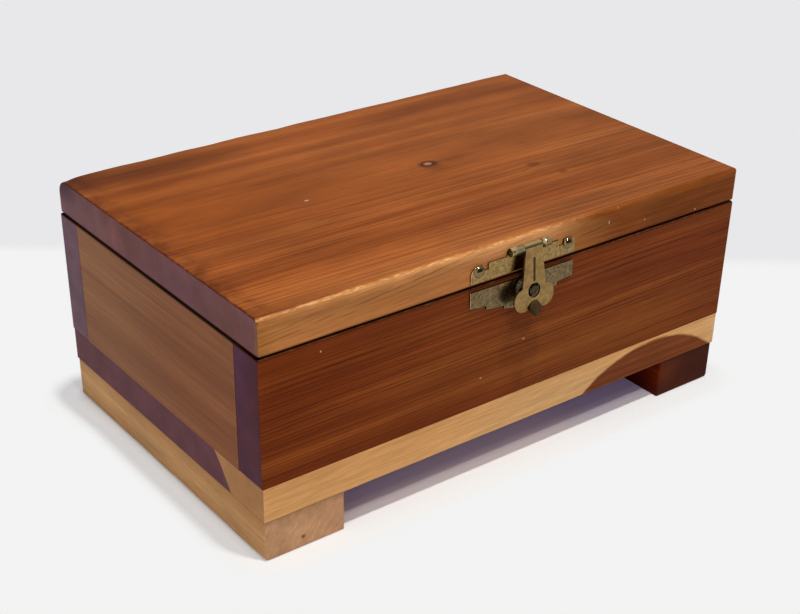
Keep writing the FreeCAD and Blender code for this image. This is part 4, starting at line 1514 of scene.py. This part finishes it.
@dataclass
class Studio:
    """A pale floor, soft lamps and a camera at the photograph's viewing angle. Sizes are in millimetres.

    One lamp is high and just before the box, one lower and farther forward, and a broad one fills from
    the left.
    """

    focal_px: float = 1447.5
    image_width_px: float = 800.0
    sensor_mm: float = 36.0
    shift: float = 0.1
    azimuth_deg: float = -37.551
    elevation_deg: float = 30.603
    roll_deg: float = 1.063
    eye: Triple = (-254.5, -330.2, 246.1)
    floor_half: float = 4000.0
    paper: str = "#f2f3f2"
    surround: str = "#e8e8ea"
    paper_edge: float = 101.6
    paper_blur: float = 6.0
    paper_ends: Pair = (700.0, 1800.0)
    footprint_inset: float = 4.0
    shade_paper: str = "#a9b2cc"
    shade_glow: str = "#423648"
    ambient: str = "#eaeaff"
    ambient_strength: float = 0.25
    lamp_target: Triple = (0.0, 0.0, 40.0)
    lamps: tuple[Lamp, ...] = (
        Lamp("high", (0.03, -0.25, 0.97), 1.2, 0.06, 8.2, "#fffaf4"),
        Lamp("low", (-0.12, -0.6, 1.0), 1.2, 0.06, 3.0, "#fff8f0"),
        Lamp("fill", (-0.9, -0.3, 0.35), 1.0, 0.9, 2.8, "#ffffff"),
    )

    def build(self) -> None:
        """Sets up the camera, the floor, the lamps and the world."""
        self._camera()
        self._floor()
        for lamp in self.lamps:
            lamp.hang(Vector(self.lamp_target) * MM)
        self._world()
        bpy.context.scene.view_settings.view_transform = "Standard"

    def _back(self) -> Vector:
        """Works out the way from the object to the camera.

        Returns:
            The direction, one unit long.
        """
        azimuth, elevation = math.radians(self.azimuth_deg), math.radians(self.elevation_deg)
        level = math.cos(elevation)
        return Vector((math.sin(azimuth) * level, -math.cos(azimuth) * level, math.sin(elevation)))

    def _camera(self) -> None:
        """Places the camera."""
        data = bpy.data.cameras.new("camera")
        data.sensor_width = self.sensor_mm
        data.lens = self.focal_px / self.image_width_px * self.sensor_mm
        data.shift_y = self.shift
        data.clip_start = 0.01
        camera = bpy.data.objects.new("camera", data)
        back = self._back()
        right = Vector((0, 0, 1)).cross(back).normalized()
        upward = back.cross(right)
        roll = math.radians(self.roll_deg)
        side = right * math.cos(roll) + upward * math.sin(roll)
        top = upward * math.cos(roll) - right * math.sin(roll)
        turn = Matrix((side, top, back)).transposed().to_4x4()
        camera.matrix_world = Matrix.Translation(Vector(self.eye) * MM) @ turn
        bpy.context.scene.collection.objects.link(camera)
        bpy.context.scene.camera = camera

    def _floor(self) -> None:
        """Lays a matt white sheet of paper on a slightly greyer surface that runs out of sight."""
        shape = bmesh.new()
        bmesh.ops.create_grid(shape, x_segments=8, y_segments=8, size=self.floor_half * MM)
        mesh = bpy.data.meshes.new("floor")
        shape.to_mesh(mesh)
        shape.free()
        floor = bpy.data.objects.new("floor", mesh)
        bpy.context.scene.collection.objects.link(floor)
        mesh.materials.append(self._matt_paper())

    def _matt_paper(self) -> bpy.types.Material:
        """Makes the paper: matt and pale away from the box, and shaded under it and close to it.

        Returns:
            The paper's material.
        """
        material, put = fresh_material("matt_white_paper")
        place = place_in_mm(put)
        colour = self._paper_colour(put, place)
        clear, deep = self._clearance(put, place)
        # The paper glows away from the box, and at up to about half close beside it, which paints light into
        # the contact shadow.
        away = put("ShaderNodeMapRange", {0: clear, 1: 4.0, 2: 15.0}, **SMOOTH)
        faint = put("ShaderNodeMapRange", {0: clear, 1: 1.0, 2: 6.0, 4: 0.45})
        away = put("ShaderNodeMath", {0: away, 1: faint}, operation="MAXIMUM")
        seen, mirrored = put("ShaderNodeLightPath", {}, out=("Is Camera Ray", "Is Glossy Ray"))
        shown = put("ShaderNodeMath", {0: seen, 1: mirrored}, operation="MAXIMUM")
        shown = put("ShaderNodeMath", {0: away, 1: shown}, operation="MULTIPLY")
        # Under the box the paper gets painted shade: a cooler colour and a faint glow that the camera sees,
        # so the shade is never quite dark.
        under = put("ShaderNodeMapRange", {0: clear, 1: 4.0, 2: 0.0})
        deep = put("ShaderNodeMath", {0: deep, 1: under}, operation="MULTIPLY")
        cool = put("ShaderNodeMix", {0: deep, 6: colour, 7: linear(self.shade_paper)}, **BLEND)
        matt = put("ShaderNodeBsdfDiffuse", {"Color": cool})
        glow = put("ShaderNodeEmission", {"Color": colour})
        both = put("ShaderNodeMixShader", {0: shown, 1: matt, 2: glow})
        under = put("ShaderNodeMath", {0: under, 1: seen}, operation="MULTIPLY")
        shade = put("ShaderNodeEmission", {"Color": linear(self.shade_glow), "Strength": under})
        both = put("ShaderNodeAddShader", {0: both, 1: shade})
        # From below the paper lets the underside of the box be seen.
        below = put("ShaderNodeNewGeometry", {}, out="Backfacing")
        open_view = put("ShaderNodeBsdfTransparent", {})
        both = put("ShaderNodeMixShader", {0: below, 1: both, 2: open_view})
        put("ShaderNodeOutputMaterial", {0: both})
        return material

    def _paper_colour(self, put: Put, place: Socket) -> Socket:
        """Colours the paper, and the greyer surface behind it and far away.

        Args:
            put: The function that adds a node.
            place: The place on the floor in millimetres.

        Returns:
            The colour.
        """
        ahead = -self._back()
        ahead.z = 0.0
        ahead.normalize()
        inputs = {0: place, 1: tuple(ahead)}
        behind = put("ShaderNodeVectorMath", inputs, out="Value", operation="DOT_PRODUCT")
        near, beyond = self.paper_edge - self.paper_blur, self.paper_edge + self.paper_blur
        mask = put("ShaderNodeMapRange", {0: behind, 1: near, 2: beyond}, **SMOOTH)
        far = put("ShaderNodeVectorMath", {0: place}, out="Value", operation="LENGTH")
        start, stop = self.paper_ends
        distant = put("ShaderNodeMapRange", {0: far, 1: start, 2: stop}, **SMOOTH)
        mask = put("ShaderNodeMath", {0: mask, 1: distant}, operation="MAXIMUM")
        return put("ShaderNodeMix", {0: mask, 6: linear(self.paper), 7: linear(self.surround)}, **BLEND)

    def _clearance(self, put: Put, place: Socket) -> tuple[Socket, Socket]:
        """Measures how far the floor is from the box's footprint.

        Args:
            put: The function that adds a node.
            place: The place on the floor in millimetres.

        Returns:
            The distance in millimetres, and how far in under the front the floor lies, from nought to one.
        """
        low, high = (corner * PER_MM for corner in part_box("bottom_board"))
        middle, half = (low + high) / 2, (high - low) / 2
        sides = (half.x - self.footprint_inset, half.y - self.footprint_inset, 0.0)
        offset = put("ShaderNodeVectorMath", {0: place, 1: (middle.x, middle.y, 0.0)}, operation="SUBTRACT")
        outside = put("ShaderNodeVectorMath", {0: offset}, operation="ABSOLUTE")
        outside = put("ShaderNodeVectorMath", {0: outside, 1: sides}, operation="SUBTRACT")
        outside = put("ShaderNodeVectorMath", {0: outside, 1: (0.0, 0.0, 0.0)}, operation="MAXIMUM")
        clear = put("ShaderNodeVectorMath", {0: outside}, out="Value", operation="LENGTH")
        inward = put("ShaderNodeSeparateXYZ", {0: offset}, out=1)
        # The lamps throw the shadow backwards, so the paper clears later behind the box than beside it.
        rear = put("ShaderNodeMapRange", {0: inward, 1: sides[1] - 20.0, 2: sides[1], 3: 1.0, 4: 0.8})
        clear = put("ShaderNodeMath", {0: clear, 1: rear}, operation="MULTIPLY")
        # Light from the front reaches some millimetres in under the box.
        deep = put("ShaderNodeMapRange", {0: inward, 1: 1.0 - sides[1], 2: 7.0 - sides[1]})
        return clear, deep

    def _world(self) -> None:
        """Makes an even surround: a soft level of light, and a pale backdrop where it is seen."""
        world = bpy.data.worlds.new("studio")
        bpy.context.scene.world = world
        world.use_nodes = True
        world.node_tree.nodes.clear()
        put = partial(add, world.node_tree)
        seen, mirrored = put("ShaderNodeLightPath", {}, out=("Is Camera Ray", "Is Glossy Ray"))
        level = self.ambient_strength
        ambient = put("ShaderNodeBackground", {"Color": linear(self.ambient), "Strength": level})
        backdrop = put("ShaderNodeBackground", {"Color": linear(self.surround)})
        # Metal mirrors a pale backdrop behind the box and a dim room before it.
        towards = put("ShaderNodeTexCoord", {}, out="Generated")
        rearward = (0.2, 0.95, 0.25)
        behind = put("ShaderNodeVectorMath", {0: towards, 1: rearward}, out="Value", operation="DOT_PRODUCT")
        level = put("ShaderNodeMapRange", {0: behind, 1: -0.35, 2: 0.35, 3: 0.1, 4: 0.8})
        room = put("ShaderNodeBackground", {"Strength": level})
        lit = put("ShaderNodeMixShader", {0: mirrored, 1: ambient, 2: room})
        both = put("ShaderNodeMixShader", {0: seen, 1: lit, 2: backdrop})
        put("ShaderNodeOutputWorld", {0: both})


def main() -> None:
    """Builds the woodwork, the hardware and the studio in order."""
    logging.basicConfig(level=logging.INFO, format="%(name)s: %(message)s")
    for part in (Woodwork(), Hardware(), Studio()):
        LOG.info("building %s", type(part).__name__)
        part.build()


if __name__ == "__main__":
    main()
